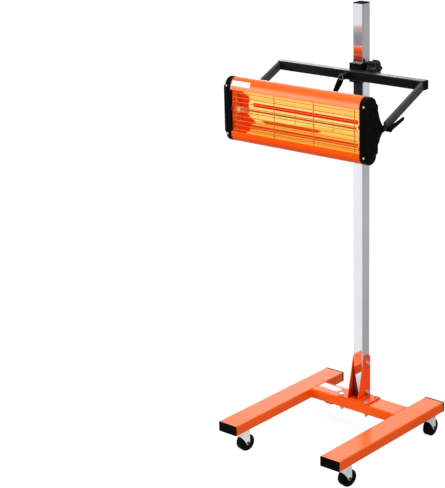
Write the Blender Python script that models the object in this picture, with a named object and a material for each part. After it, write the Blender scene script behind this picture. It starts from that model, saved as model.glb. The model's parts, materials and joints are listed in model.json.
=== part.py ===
"""Infrared paint curing lamp on a wheeled stand, modelled piece by piece.

Units are metres and +Z is up. The lamp faces -Y and the casters stand on z = 0.
Every place below is measured from the mast's axis (x = 0, y = 0). One root empty then
moves the whole stand, so that the origin of the frame is the middle of its footprint.
"""
import math

import bmesh
import bpy
from mathutils import Matrix, Vector

# Clearances between pieces
SEAT_GAP = 0.0003
HOLE_CLEARANCE = 0.0003
CUT_OVERRUN = 0.002

# Base frame of rectangular steel tube
RAIL_WIDTH = 0.077
RAIL_HEIGHT = 0.035
RAIL_LENGTH = 0.588
RAIL_SPACING = 0.430
RAIL_WALL = 0.002
RAIL_CORNER = 0.003
REAR_END_FROM_MAST = 0.1304
CROSS_WIDTH = 0.0775
CROSS_AHEAD_OF_MAST = 0.0148

# Plastic plugs in the open tube ends
PLUG_FLANGE = 0.0025
PLUG_DEPTH = 0.016
PLUG_WALL = 0.002
PLUG_ROUNDING = 0.001

# Casters
CASTER_HEIGHT = 0.088
CASTER_TRAIL = 0.022
FRONT_CASTER_INSET = 0.0600
REAR_CASTER_INSET = 0.0452
WHEEL_DIAMETER = 0.060
WHEEL_WIDTH = 0.025
WHEEL_SHOULDER = 0.002
WHEEL_HUB_DIAMETER = 0.020
WHEEL_RIM_DIAMETER = 0.040
WHEEL_RECESS = 0.003
AXLE_DIAMETER = 0.006
AXLE_HEAD_DIAMETER = 0.011
AXLE_HEAD_HEIGHT = 0.002
FORK_SHEET = 0.002
FORK_SIDE_GAP = 0.002
FORK_BEND = 0.003
FORK_AXLE_BOSS = 0.0075
FORK_NOSE = 0.028
FORK_NOSE_DEPTH = 0.0085
FORK_WAIST_DROP = 0.020
STEM_DIAMETER = 0.010
STEM_NUT_FLATS = 0.017
STEM_NUT_HEIGHT = 0.008
STEM_TAIL = 0.003
TOP_PLATE_DIAMETER = 0.038
TOP_PLATE_THICKNESS = 0.0025
RACE_DIAMETER = 0.024
RACE_HEIGHT = 0.006
KINGPIN_DIAMETER = 0.008
KINGPIN_HEAD_DIAMETER = 0.015
KINGPIN_HEAD_HEIGHT = 0.0025

# Mast, its plug and its bracket
MAST_SIDE = 0.040
MAST_WALL = 0.0015
MAST_CORNER = 0.003
MAST_LENGTH = 1.360
BRACKET_PLATE_WIDTH = 0.128
BRACKET_PLATE_THICKNESS = 0.005
BRACKET_PLATE_SETBACK = 0.0005
CHEEK_THICKNESS = 0.003
CHEEK_HEIGHT = 0.151
CHEEK_FLARE = 0.0307
CHEEK_TOP_SETBACK = 0.0022
CHEEK_BOW = 0.002
CHEEK_CORNER = 0.007
CHEEK_WELD = 0.003

# Bolts with washers and nuts, of one size on the bracket
BOLT_DIAMETER = 0.008
BOLT_FLATS = 0.013
BOLT_HEAD_HEIGHT = 0.0053
NUT_HEIGHT = 0.0065
WASHER_DIAMETER = 0.016
WASHER_THICKNESS = 0.0016
BOLT_TAIL = 0.003
PLATE_BOLT_SPAN_X = 0.104
PLATE_BOLT_SPAN_Y = 0.0586
MAST_BOLT_TOP_MARGIN = 0.0253
MAST_BOLT_BOTTOM_MARGIN = 0.0172

# Sliding collar and its star knob
COLLAR_WIDTH = 0.0468
COLLAR_FRONT_WALL = 0.015
COLLAR_BACK_WALL = 0.0031
COLLAR_HEIGHT = 0.063
COLLAR_ABOVE_AXIS = 0.0320
COLLAR_CORNER = 0.002
KNOB_BOSS_DIAMETER = 0.020
KNOB_BOSS_HEIGHT = 0.0075
KNOB_ABOVE_AXIS = 0.0145
KNOB_DIAMETER = 0.060
KNOB_NOSE_DIAMETER = 0.050
KNOB_THICKNESS = 0.030
KNOB_TAPER_HEIGHT = 0.010
KNOB_HUB_DIAMETER = 0.024
KNOB_HUB_HEIGHT = 0.0055
KNOB_SCREW_DIAMETER = 0.010
KNOB_EDGE = 0.003
KNOB_DISH = 0.002

# Yoke that carries the lamp head
YOKE_HEIGHT = 1.2665
BEAM_SIDE = 0.030
BEAM_WALL = 0.002
BEAM_CORNER = 0.002
BEAM_PLUG_FLANGE = 0.002
BUSH_THICKNESS = 0.0079
BUSH_DIAMETER = 0.024
SWIVEL_BOLT_DIAMETER = 0.010
SWIVEL_BOLT_IN_COLLAR = 0.012
ARM_THICKNESS = 0.010
ARM_BAR_HEIGHT = 0.025
ARM_REACH = 0.1930
ARM_DROP = 0.0872
ARM_BELOW_BEAM_TOP = 0.004

# Clamp levers
SWIVEL_HUB_DIAMETER = 0.021
SWIVEL_HUB_LENGTH = 0.0365
SWIVEL_GRIP_WIDTH = 0.022
TILT_HUB_DIAMETER = 0.017
TILT_HUB_LENGTH = 0.013
TILT_GRIP_WIDTH = 0.016
LEVER_REACH = 0.074
LEVER_GRIP_THICKNESS = 0.0075
LEVER_GRIP_RISE = 0.002
LEVER_HUB_EDGE = 0.0015
LEVER_END_WALL = 0.004
SWIVEL_LEVER_TURN = 27.0
TILT_LEVER_TURN = 17.0

# Tilt pivots at the arm ends
PIVOT_FROM_ARM_END = 0.0085
PIVOT_BELOW_ARM_TOP = 0.0218
PIVOT_BOLT_DIAMETER = 0.006
PIVOT_HEAD_DIAMETER = 0.017
PIVOT_HEAD_HEIGHT = 0.004
PIVOT_NUT_FLATS = 0.010
PIVOT_NUT_HEIGHT = 0.006
PIVOT_TAIL = 0.002

# Lamp housing, an open extrusion with rounded top and bottom
HOUSING_LENGTH = 0.508
HOUSING_HEIGHT = 0.210
HOUSING_DEPTH = 0.057
HOUSING_WALL = 0.002
WINDOW_HEIGHT = 0.135
PIVOT_BEHIND_HOUSING = 0.0400
LAMP_ABOVE_PIVOT = 0.004

# Polished reflector trough
REFLECTOR_SHEET = 0.001
REFLECTOR_BACK_HEIGHT = 0.078
REFLECTOR_MOUTH_HEIGHT = 0.150
REFLECTOR_FRONT_MARGIN = 0.0075
REFLECTOR_END_MARGIN = 0.004

# Moulded end caps with fins and pivot ears
CAP_FLANGE = 0.0247
CAP_WALL = 0.003
CAP_EDGE = 0.004
FIN_BLOCK_HEIGHT = 0.157
FIN_BLOCK_ABOVE_MIDDLE = 0.0025
FIN_BLOCK_DEPTH = 0.053
FIN_BLOCK_RISE = 0.0063
FIN_BLOCK_SLANT = 0.004
FIN_BLOCK_ROUNDING = 0.0015
FIN_GROOVE_WIDTH = 0.0032
FIN_GROOVE_DEPTH = 0.007
EAR_THICKNESS = 0.010
EAR_STEP = 0.0005
EAR_TIP_RADIUS = 0.0085
EAR_WEB_SETBACK = 0.021
EAR_TOP_RISE = 0.060
EAR_TOP_SETBACK = 0.0345
EAR_BOTTOM_DROP = 0.038
EAR_BOTTOM_SETBACK = 0.0295
EAR_ROOT_SPREAD = 0.006
EAR_ROOT_DEPTH = 0.010

# Wire grille
GRILLE_WIRE = 0.0022
GRILLE_STAY = 0.0025
GRILLE_WELD_SINK = 0.0003
GRILLE_END_MARGIN = 0.0105
GRILLE_STAY_OVERLAP = 0.0045

# Heating tube and its ceramic holders
TUBE_DIAMETER = 0.012
TUBE_WALL = 0.0013
TUBE_BEHIND_FRONT = 0.0255
FILAMENT_DIAMETER = 0.0035
HOLDER_SIDE = 0.018
HOLDER_ROUNDING = 0.003
HOLDER_INSIDE_HOUSING = 0.022
HOLDER_SOCKET_DEPTH = 0.008

# Cable gland in the left end cap, with no cord
GLAND_THREAD_DIAMETER = 0.012
GLAND_FLATS = 0.017
GLAND_FLANGE_HEIGHT = 0.005
GLAND_NUT_HEIGHT = 0.011
GLAND_MOUTH_DIAMETER = 0.014
GLAND_BORE_DIAMETER = 0.007
GLAND_INSIDE = 0.005
GLAND_BELOW_PIVOT = 0.058

# Counts and shares of shapes
CORNER_STEPS = 3
ROUND_POINTS = 18
WHEEL_POINTS = 32
KNOB_POINTS = 60
KNOB_LOBES = 6
KNOB_LOBE_DEPTH_SHARE = 0.27
STADIUM_STEPS = 10
CHEEK_CURVE_STEPS = 6
EAR_CURVE_STEPS = 6
ARM_EYE_STEPS = 10
GRIP_POINTS = 12
FIN_GROOVES = 6
GRILLE_WIRES = 9
GRILLE_STAYS = 4
GRILLE_SIDES = 8
GRILLE_PITCH_SHARE = 0.307

# The clamp handle's rings: how far out, how far raised and how thick, as shares of its sizes
GRIP_SHARES = ((0, 0, 0.95), (0.2, 0.2, 1.0), (0.6, 0.75, 0.85), (0.94, 1, 0.72), (1, 1, 0.45))

# How far each caster is turned about its stem as it stands, in degrees
CASTER_TURNS = {"front_left": -12.0, "front_right": -14.0, "rear_left": 0.0, "rear_right": 0.0}

# Places worked out from the sizes above
RAIL_TOP = CASTER_HEIGHT + RAIL_HEIGHT
RAIL_REAR_END = REAR_END_FROM_MAST
RAIL_FRONT_END = RAIL_REAR_END - RAIL_LENGTH
PLATE_TOP = RAIL_TOP + SEAT_GAP + BRACKET_PLATE_THICKNESS
MAST_FOOT = PLATE_TOP + SEAT_GAP
MAST_TOP = MAST_FOOT + MAST_LENGTH
CHEEK_INNER = MAST_SIDE / 2 + SEAT_GAP
CHEEK_OUTER = CHEEK_INNER + CHEEK_THICKNESS
CHEEK_TOP = PLATE_TOP + CHEEK_HEIGHT
COLLAR_BORE = MAST_SIDE + 2 * HOLE_CLEARANCE
COLLAR_FRONT = -COLLAR_BORE / 2 - COLLAR_FRONT_WALL
COLLAR_BACK = COLLAR_BORE / 2 + COLLAR_BACK_WALL
CAP_INNER = HOUSING_LENGTH / 2 + SEAT_GAP
CAP_OUTER = CAP_INNER + CAP_FLANGE
EAR_OUTER = CAP_OUTER + EAR_STEP
EAR_INNER = EAR_OUTER - EAR_THICKNESS
ARM_INNER = EAR_OUTER + SEAT_GAP
ARM_OUTER = ARM_INNER + ARM_THICKNESS
BEAM_LENGTH = 2 * (ARM_OUTER - BEAM_PLUG_FLANGE)
BEAM_BACK = COLLAR_FRONT - 2 * SEAT_GAP - BUSH_THICKNESS
BEAM_FRONT = BEAM_BACK - BEAM_SIDE
ARM_TOP = BEAM_SIDE / 2 - ARM_BELOW_BEAM_TOP
ARM_ROOT = BEAM_FRONT - SEAT_GAP
ARM_END = ARM_ROOT - ARM_REACH
ARM_SLOPE = math.atan2(ARM_DROP, ARM_REACH)
PIVOT_Y = ARM_END + PIVOT_FROM_ARM_END
PIVOT_RISE = ARM_TOP - ARM_DROP - PIVOT_BELOW_ARM_TOP
LEFT_REACH = ARM_OUTER + SEAT_GAP + PIVOT_NUT_HEIGHT + PIVOT_TAIL
RIGHT_REACH = ARM_OUTER + SEAT_GAP + TILT_HUB_LENGTH
REAR_WHEEL_REACH = RAIL_REAR_END - REAR_CASTER_INSET + CASTER_TRAIL + WHEEL_DIAMETER / 2
REAR_REACH = max(RAIL_REAR_END + SEAT_GAP + PLUG_FLANGE, REAR_WHEEL_REACH)
FRONT_REACH = RAIL_FRONT_END - SEAT_GAP - PLUG_FLANGE
FRAME_MIDDLE = Vector(((RIGHT_REACH - LEFT_REACH) / 2, (REAR_REACH + FRONT_REACH) / 2, 0))

# Turns that lay a piece built along +Z along another axis
ALONG_X = Matrix.Rotation(math.radians(90), 4, "Y")
ALONG_MINUS_X = Matrix.Rotation(math.radians(-90), 4, "Y")
ALONG_Y = Matrix.Rotation(math.radians(-90), 4, "X")
ALONG_MINUS_Y = Matrix.Rotation(math.radians(90), 4, "X")
UPRIGHT = Matrix.Identity(4)


# Outlines in two dimensions

def circle(radius, count=ROUND_POINTS):
    """A polygon whose flats touch the circle, with a flat at angle zero."""
    corner = radius / math.cos(math.pi / count)
    angles = [2 * math.pi * (index + 0.5) / count for index in range(count)]
    return [(corner * math.cos(angle), corner * math.sin(angle)) for angle in angles]


def hexagon(flats, count=ROUND_POINTS):
    """A hexagon across flats, with as many points as the circles that it joins."""
    points = []
    for index in range(count):
        angle = 2 * math.pi * index / count
        from_flat = (angle + math.pi / 6) % (math.pi / 3) - math.pi / 6
        radius = flats / 2 / math.cos(from_flat)
        points.append((radius * math.cos(angle), radius * math.sin(angle)))
    return points


def rounded_rectangle(width, height, radius, steps=CORNER_STEPS):
    """A rectangle with round corners, centred on zero, anticlockwise."""
    points = []
    corners = [(1, 1, 0), (-1, 1, 90), (-1, -1, 180), (1, -1, 270)]
    for side_a, side_b, start in corners:
        centre_a = side_a * (width / 2 - radius)
        centre_b = side_b * (height / 2 - radius)
        for step in range(steps + 1):
            angle = math.radians(start + 90 * step / steps)
            points.append((centre_a + radius * math.cos(angle), centre_b + radius * math.sin(angle)))
    return points


def stadium(depth, height, steps=STADIUM_STEPS):
    """An upright slot shape: half circles above and below straight sides."""
    radius = depth / 2
    points = []
    for side, start in ((1, 0), (-1, 180)):
        for step in range(steps + 1):
            angle = math.radians(start + 180 * step / steps)
            centre = side * (height / 2 - radius)
            points.append((radius * math.cos(angle), centre + radius * math.sin(angle)))
    return points


def bezier(start, control, end, steps):
    """Points of a quadratic curve, with both ends."""
    start, control, end = Vector(start), Vector(control), Vector(end)
    points = []
    for step in range(steps + 1):
        share = step / steps
        point = start * (1 - share) ** 2 + control * 2 * share * (1 - share) + end * share ** 2
        points.append(tuple(point))
    return points


# Solids

def ring_mesh(rings, closed=False):
    """Skin a row of rings that have equal numbers of points, and close both ends."""
    shape = bmesh.new()
    layers = [[shape.verts.new(point) for point in ring] for ring in rings]
    pairs = list(zip(layers, layers[1:]))
    if closed:
        pairs.append((layers[-1], layers[0]))
    for low, high in pairs:
        count = len(low)
        for index in range(count):
            after = (index + 1) % count
            shape.faces.new((low[index], low[after], high[after], high[index]))
    if not closed:
        shape.faces.new(layers[0])
        shape.faces.new(layers[-1])
    bmesh.ops.recalc_face_normals(shape, faces=shape.faces)
    mesh = bpy.data.meshes.new("solid")
    shape.to_mesh(mesh)
    shape.free()
    return mesh


def stacked(sections, closed=False):
    """Stack outlines along +Z. Each section is an outline and its height."""
    rings = [[(a, b, height) for a, b in outline] for outline, height in sections]
    return ring_mesh(rings, closed)


def prism(outline, start, end, plane):
    """Extrude an outline between two places on the axis that its plane leaves free."""
    place = {
        "yz": lambda a, b, along: (along, a, b),
        "xz": lambda a, b, along: (a, along, b),
        "xy": lambda a, b, along: (a, b, along),
    }[plane]
    shape = bmesh.new()
    first = [shape.verts.new(place(a, b, start)) for a, b in outline]
    face = shape.faces.new(first)
    moved = bmesh.ops.extrude_face_region(shape, geom=[face])["geom"]
    verts = [item for item in moved if isinstance(item, bmesh.types.BMVert)]
    shift = Vector(place(0, 0, end)) - Vector(place(0, 0, start))
    bmesh.ops.translate(shape, verts=verts, vec=shift)
    bmesh.ops.recalc_face_normals(shape, faces=shape.faces)
    mesh = bpy.data.meshes.new("prism")
    shape.to_mesh(mesh)
    shape.free()
    return mesh


def box_mesh(low, high):
    """A box between two corners."""
    outline = [(low[0], low[1]), (high[0], low[1]), (high[0], high[1]), (low[0], high[1])]
    return prism(outline, low[2], high[2], "xy")


def rod_mesh(start, end, radius, count=ROUND_POINTS):
    """A round rod between two points."""
    start, end = Vector(start), Vector(end)
    mesh = stacked([(circle(radius, count), 0), (circle(radius, count), (end - start).length)])
    turn = (end - start).to_track_quat("Z", "Y").to_matrix().to_4x4()
    mesh.transform(Matrix.Translation(start) @ turn)
    return mesh


def joined(meshes):
    """Several separate bodies in one mesh, for cutting or for adding at once."""
    shape = bmesh.new()
    for mesh in meshes:
        shape.from_mesh(mesh)
    result = bpy.data.meshes.new("joined")
    shape.to_mesh(result)
    shape.free()
    return result


def combined(base, other, operation):
    """The Boolean of two meshes, as a new mesh."""
    target = bpy.data.objects.new("target", base)
    tool = bpy.data.objects.new("tool", other)
    for item in (target, tool):
        bpy.context.collection.objects.link(item)
    cut = target.modifiers.new("cut", "BOOLEAN")
    cut.operation = operation
    cut.solver = "EXACT"
    cut.object = tool
    evaluated = target.evaluated_get(bpy.context.evaluated_depsgraph_get())
    result = bpy.data.meshes.new_from_object(evaluated)
    for item in (target, tool):
        bpy.data.objects.remove(item)
    return result


def cut_from(base, cutters):
    return combined(base, joined(cutters), "DIFFERENCE")


def tube_mesh(outer, inner, start, end):
    """A tube along +Z from an outer and an inner outline."""
    return stacked([(outer, start), (outer, end), (inner, end), (inner, start)], closed=True)


# Scene helpers

def make_material(name, colour, roughness, metallic=0.0):
    material = bpy.data.materials.new(name)
    material.use_nodes = True
    shader = material.node_tree.nodes["Principled BSDF"]
    shader.inputs["Base Color"].default_value = (*colour, 1.0)
    shader.inputs["Roughness"].default_value = roughness
    shader.inputs["Metallic"].default_value = metallic
    return material


def make_empty(name, place, parent=None, turn=0.0):
    empty = bpy.data.objects.new(name, None)
    bpy.context.collection.objects.link(empty)
    empty.parent = parent
    empty.location = place
    empty.rotation_euler = (0, 0, math.radians(turn))
    return empty


def add_piece(name, mesh, look, parent, place=(0, 0, 0), turn=UPRIGHT):
    """Place a mesh as a named piece, with its own material, smooth where it is round."""
    mesh.name = name
    mesh.materials.clear()
    mesh.materials.append(make_material(name + "_finish", *look))
    mesh.shade_smooth()
    mesh.set_sharp_from_angle(angle=math.radians(35))
    piece = bpy.data.objects.new(name, mesh)
    bpy.context.collection.objects.link(piece)
    piece.parent = parent
    piece.matrix_local = Matrix.Translation(Vector(place)) @ turn
    return piece


# Looks: colour, roughness, metallic
ORANGE_PAINT = ((0.90, 0.12, 0.01), 0.35)
BLACK_PAINT = ((0.02, 0.02, 0.022), 0.45)
BLACK_PLASTIC = ((0.02, 0.02, 0.025), 0.5)
BLACK_RUBBER = ((0.012, 0.012, 0.012), 0.7)
CHROME = ((0.75, 0.75, 0.77), 0.12, 1.0)
ZINC = ((0.62, 0.63, 0.65), 0.35, 1.0)
MIRROR = ((0.90, 0.86, 0.78), 0.08, 1.0)
WIRE = ((0.70, 0.68, 0.64), 0.3, 1.0)
QUARTZ = ((0.95, 0.45, 0.15), 0.1)
TUNGSTEN = ((1.0, 0.35, 0.08), 0.5)
CERAMIC = ((0.85, 0.82, 0.75), 0.6)


# Base

def drilled_tube(width, height, wall, corner, length, holes):
    """A rectangular tube along +Z with round holes through it, each given as a cutter."""
    outer = rounded_rectangle(width, height, corner)
    inner = rounded_rectangle(width - 2 * wall, height - 2 * wall, corner - wall / 2)
    tube = tube_mesh(outer, inner, -length / 2, length / 2)
    return cut_from(tube, holes) if holes else tube


def end_plug(width, height, wall, corner, flange):
    """A plug for a tube end: its flange faces -Z and its hollow body goes in along +Z."""
    body_width = width - 2 * wall - 2 * SEAT_GAP
    body_height = height - 2 * wall - 2 * SEAT_GAP
    edge = PLUG_ROUNDING
    face = rounded_rectangle(width - 2 * edge, height - 2 * edge, corner - edge / 2)
    rim = rounded_rectangle(width, height, corner)
    body = rounded_rectangle(body_width, body_height, corner - wall / 2)
    hollow = rounded_rectangle(body_width - 2 * PLUG_WALL, body_height - 2 * PLUG_WALL, corner - wall)
    return stacked([
        (face, -flange),
        (rim, edge - flange),
        (rim, 0),
        (body, 0),
        (body, PLUG_DEPTH),
        (hollow, PLUG_DEPTH),
        (hollow, flange),
    ])


def caster_places():
    """Each caster's name and the place of its stem, from the mast's axis."""
    front = RAIL_FRONT_END + FRONT_CASTER_INSET
    rear = RAIL_REAR_END - REAR_CASTER_INSET
    half = RAIL_SPACING / 2
    return {
        "front_left": (-half, front),
        "front_right": (half, front),
        "rear_left": (-half, rear),
        "rear_right": (half, rear),
    }


def plate_bolt_places():
    """The four bolts of the mast bracket, about the middle of the cross member."""
    half_x = PLATE_BOLT_SPAN_X / 2
    half_y = PLATE_BOLT_SPAN_Y / 2
    middle = -CROSS_AHEAD_OF_MAST
    return [(side * half_x, middle + end * half_y) for end in (-1, 1) for side in (-1, 1)]


def build_rails(root):
    middle = (RAIL_REAR_END + RAIL_FRONT_END) / 2
    height = CASTER_HEIGHT + RAIL_HEIGHT / 2
    for side, name in ((-1, "left"), (1, "right")):
        stems = [place[1] - middle for key, place in caster_places().items() if name in key]
        radius = STEM_DIAMETER / 2 + HOLE_CLEARANCE
        reach = RAIL_HEIGHT / 2 + CUT_OVERRUN
        holes = [rod_mesh((0, -reach, -stem), (0, 0, -stem), radius) for stem in stems]
        rail = drilled_tube(RAIL_WIDTH, RAIL_HEIGHT, RAIL_WALL, RAIL_CORNER, RAIL_LENGTH, holes)
        place = (side * RAIL_SPACING / 2, middle, height)
        add_piece(name + "_rail", rail, ORANGE_PAINT, root, place, ALONG_MINUS_Y)
        ends = (
            ("front", RAIL_FRONT_END - SEAT_GAP, ALONG_Y),
            ("rear", RAIL_REAR_END + SEAT_GAP, ALONG_MINUS_Y),
        )
        for end, y, turn in ends:
            plug = end_plug(RAIL_WIDTH, RAIL_HEIGHT, RAIL_WALL, RAIL_CORNER, PLUG_FLANGE)
            place = (side * RAIL_SPACING / 2, y, height)
            add_piece(f"rail_plug_{end}_{name}", plug, BLACK_PLASTIC, root, place, turn)


def build_cross_member(root):
    length = RAIL_SPACING - RAIL_WIDTH - 2 * SEAT_GAP
    radius = BOLT_DIAMETER / 2 + HOLE_CLEARANCE
    reach = RAIL_HEIGHT / 2 + CUT_OVERRUN
    holes = []
    for x, y in plate_bolt_places():
        across = y + CROSS_AHEAD_OF_MAST
        holes.append(rod_mesh((-reach, across, x), (reach, across, x), radius))
    tube = drilled_tube(RAIL_HEIGHT, CROSS_WIDTH, RAIL_WALL, RAIL_CORNER, length, holes)
    place = (0, -CROSS_AHEAD_OF_MAST, CASTER_HEIGHT + RAIL_HEIGHT / 2)
    add_piece("cross_member", tube, ORANGE_PAINT, root, place, ALONG_X)


# Casters

def caster_stem():
    """The fixed half of a caster: nut, stem, top plate, race and kingpin, with z = 0 at the rail."""
    stem = circle(STEM_DIAMETER / 2)
    nut = hexagon(STEM_NUT_FLATS)
    plate = circle(TOP_PLATE_DIAMETER / 2)
    race = circle(RACE_DIAMETER / 2)
    pin = circle(KINGPIN_DIAMETER / 2)
    head = circle(KINGPIN_HEAD_DIAMETER / 2)
    nut_low = RAIL_WALL + SEAT_GAP
    nut_high = nut_low + STEM_NUT_HEIGHT
    plate_low = -SEAT_GAP - TOP_PLATE_THICKNESS
    race_low = plate_low - RACE_HEIGHT
    crown_low = race_low - FORK_SHEET - 2 * SEAT_GAP
    return stacked([
        (stem, nut_high + STEM_TAIL),
        (stem, nut_high),
        (nut, nut_high),
        (nut, nut_low),
        (stem, nut_low),
        (stem, -SEAT_GAP),
        (plate, -SEAT_GAP),
        (plate, plate_low),
        (race, plate_low),
        (race, race_low),
        (pin, race_low),
        (pin, crown_low),
        (head, crown_low),
        (head, crown_low - KINGPIN_HEAD_HEIGHT),
    ])


def caster_fork():
    """A bent sheet fork under the race, with z = 0 at the rail and the axle behind at +y."""
    inner = WHEEL_WIDTH / 2 + FORK_SIDE_GAP
    outer = inner + FORK_SHEET
    top = -2 * SEAT_GAP - TOP_PLATE_THICKNESS - RACE_HEIGHT
    axle = WHEEL_DIAMETER / 2 - CASTER_HEIGHT
    low = axle - FORK_AXLE_BOSS - CUT_OVERRUN
    bend = [math.radians(90 * step / CORNER_STEPS) for step in range(CORNER_STEPS + 1)]
    centre_x, centre_z = outer - FORK_BEND, top - FORK_BEND
    right = [(centre_x + FORK_BEND * math.cos(turn), centre_z + FORK_BEND * math.sin(turn)) for turn in bend]
    left = [(-x, z) for x, z in reversed(right)]
    channel = [(outer, low)] + right + left + [(-outer, low), (-inner, low)]
    channel += [(-inner, top - FORK_SHEET), (inner, top - FORK_SHEET), (inner, low)]
    back = CASTER_TRAIL + FORK_AXLE_BOSS
    sheet = prism(channel, -FORK_NOSE - CUT_OVERRUN, back + CUT_OVERRUN, "xz")
    above = top + CUT_OVERRUN
    nose = (-FORK_NOSE, top - FORK_NOSE_DEPTH)
    shin = bezier(nose, (0, top - FORK_WAIST_DROP), (CASTER_TRAIL - FORK_AXLE_BOSS, axle), CORNER_STEPS + 1)
    sole = []
    for step in range(1, 2 * CORNER_STEPS):
        angle = math.radians(180 + 180 * step / (2 * CORNER_STEPS))
        across, down = FORK_AXLE_BOSS * math.cos(angle), FORK_AXLE_BOSS * math.sin(angle)
        sole.append((CASTER_TRAIL + across, axle + down))
    outline = [(-FORK_NOSE, above)] + shin + sole + [(back, axle), (back, above)]
    side = prism(outline, -outer - CUT_OVERRUN, outer + CUT_OVERRUN, "yz")
    fork = combined(sheet, side, "INTERSECT")
    pin = KINGPIN_DIAMETER / 2 + HOLE_CLEARANCE
    bore = AXLE_DIAMETER / 2 + HOLE_CLEARANCE
    reach = outer + CUT_OVERRUN
    king_hole = rod_mesh((0, 0, above), (0, 0, top - FORK_SHEET - CUT_OVERRUN), pin)
    axle_hole = rod_mesh((-reach, CASTER_TRAIL, axle), (reach, CASTER_TRAIL, axle), bore)
    return cut_from(fork, [king_hole, axle_hole])


def caster_wheel():
    """A wheel about +Z with a hub, a dished side and rounded shoulders."""
    half = WHEEL_WIDTH / 2
    rim = half - WHEEL_SHOULDER / 2
    web = rim - WHEEL_RECESS
    tread = half - WHEEL_SHOULDER
    bore = AXLE_DIAMETER / 2 + HOLE_CLEARANCE
    side = [
        (bore, half),
        (WHEEL_HUB_DIAMETER / 2, half),
        (WHEEL_HUB_DIAMETER / 2 + WHEEL_RECESS, web),
        (WHEEL_RIM_DIAMETER / 2, web),
        (WHEEL_RIM_DIAMETER / 2 + WHEEL_RECESS, rim),
        (WHEEL_DIAMETER / 2, tread),
    ]
    profile = side + [(radius, -height) for radius, height in reversed(side)]
    return stacked([(circle(radius, WHEEL_POINTS), height) for radius, height in profile], closed=True)


def caster_axle():
    """A riveted axle about +Z, centred on the wheel."""
    half = WHEEL_WIDTH / 2 + FORK_SIDE_GAP + FORK_SHEET + SEAT_GAP
    shaft = circle(AXLE_DIAMETER / 2)
    head = circle(AXLE_HEAD_DIAMETER / 2)
    return stacked([
        (head, -half - AXLE_HEAD_HEIGHT),
        (head, -half),
        (shaft, -half),
        (shaft, half),
        (head, half),
        (head, half + AXLE_HEAD_HEIGHT),
    ])


def build_casters(root):
    for name, (x, y) in caster_places().items():
        stem = make_empty("swivel_" + name, (x, y, CASTER_HEIGHT), root, CASTER_TURNS[name])
        hub = make_empty("wheel_centre_" + name, (0, CASTER_TRAIL, WHEEL_DIAMETER / 2 - CASTER_HEIGHT), stem)
        add_piece("caster_stem_" + name, caster_stem(), ZINC, root, (x, y, CASTER_HEIGHT))
        add_piece("caster_fork_" + name, caster_fork(), ZINC, stem)
        add_piece("caster_axle_" + name, caster_axle(), ZINC, hub, turn=ALONG_X)
        add_piece("caster_wheel_" + name, caster_wheel(), BLACK_RUBBER, hub, turn=ALONG_X)


# Mast and bracket

def bolt_mesh(grip):
    """A bolt along +Z: nut below z = 0, head above the grip, with washers and a short tail."""
    shank = circle(BOLT_DIAMETER / 2)
    washer = circle(WASHER_DIAMETER / 2)
    hexed = hexagon(BOLT_FLATS)
    low = -SEAT_GAP
    high = grip + SEAT_GAP
    nut_top = low - WASHER_THICKNESS
    head_low = high + WASHER_THICKNESS
    return stacked([
        (shank, nut_top - NUT_HEIGHT - BOLT_TAIL),
        (shank, nut_top - NUT_HEIGHT),
        (hexed, nut_top - NUT_HEIGHT),
        (hexed, nut_top),
        (washer, nut_top),
        (washer, low),
        (shank, low),
        (shank, high),
        (washer, high),
        (washer, head_low),
        (hexed, head_low),
        (hexed, head_low + BOLT_HEAD_HEIGHT),
    ])


def mast_bolt_heights():
    return {
        "lower": MAST_FOOT + MAST_BOLT_BOTTOM_MARGIN,
        "upper": CHEEK_TOP - MAST_BOLT_TOP_MARGIN,
    }


def build_bracket(root):
    """Base plate and two flared cheeks, cut from one welded section."""
    bottom = RAIL_TOP + SEAT_GAP
    half = BRACKET_PLATE_WIDTH / 2
    section = [
        (-half, bottom),
        (half, bottom),
        (half, PLATE_TOP),
        (CHEEK_OUTER + CHEEK_WELD, PLATE_TOP),
        (CHEEK_OUTER, PLATE_TOP + CHEEK_WELD),
        (CHEEK_OUTER, CHEEK_TOP + CUT_OVERRUN),
        (CHEEK_INNER, CHEEK_TOP + CUT_OVERRUN),
        (CHEEK_INNER, PLATE_TOP),
    ]
    section += [(-x, z) for x, z in reversed(section[3:])] + [(-half, PLATE_TOP)]
    plate_front = -CROSS_AHEAD_OF_MAST - CROSS_WIDTH / 2 + BRACKET_PLATE_SETBACK
    plate_back = -CROSS_AHEAD_OF_MAST + CROSS_WIDTH / 2 - BRACKET_PLATE_SETBACK
    body = prism(section, plate_front - CUT_OVERRUN, plate_back + CUT_OVERRUN, "xz")
    front = CHEEK_TOP_SETBACK - MAST_SIDE / 2
    back = MAST_SIDE / 2
    neck = (front, CHEEK_TOP - CHEEK_CORNER)
    foot = (-MAST_SIDE / 2 - CHEEK_FLARE, PLATE_TOP)
    pull = ((neck[0] + foot[0]) / 2 + CHEEK_BOW, (neck[1] + foot[1]) / 2)
    flare = bezier(foot, pull, neck, CHEEK_CURVE_STEPS)
    below = bottom - CUT_OVERRUN
    outline = [(plate_front, below), (plate_front, PLATE_TOP)] + flare
    outline += [
        (front + CHEEK_CORNER, CHEEK_TOP),
        (back - CHEEK_CORNER, CHEEK_TOP),
        (back, CHEEK_TOP - CHEEK_CORNER),
        (back, PLATE_TOP),
        (plate_back, PLATE_TOP),
        (plate_back, below),
    ]
    side = prism(outline, -half - CUT_OVERRUN, half + CUT_OVERRUN, "yz")
    bracket = combined(body, side, "INTERSECT")
    radius = BOLT_DIAMETER / 2 + HOLE_CLEARANCE
    reach = CHEEK_OUTER + CUT_OVERRUN
    holes = [rod_mesh((-reach, 0, z), (reach, 0, z), radius) for z in mast_bolt_heights().values()]
    for x, y in plate_bolt_places():
        holes.append(rod_mesh((x, y, below), (x, y, PLATE_TOP + CUT_OVERRUN), radius))
    add_piece("mast_bracket", cut_from(bracket, holes), ORANGE_PAINT, root)


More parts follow.
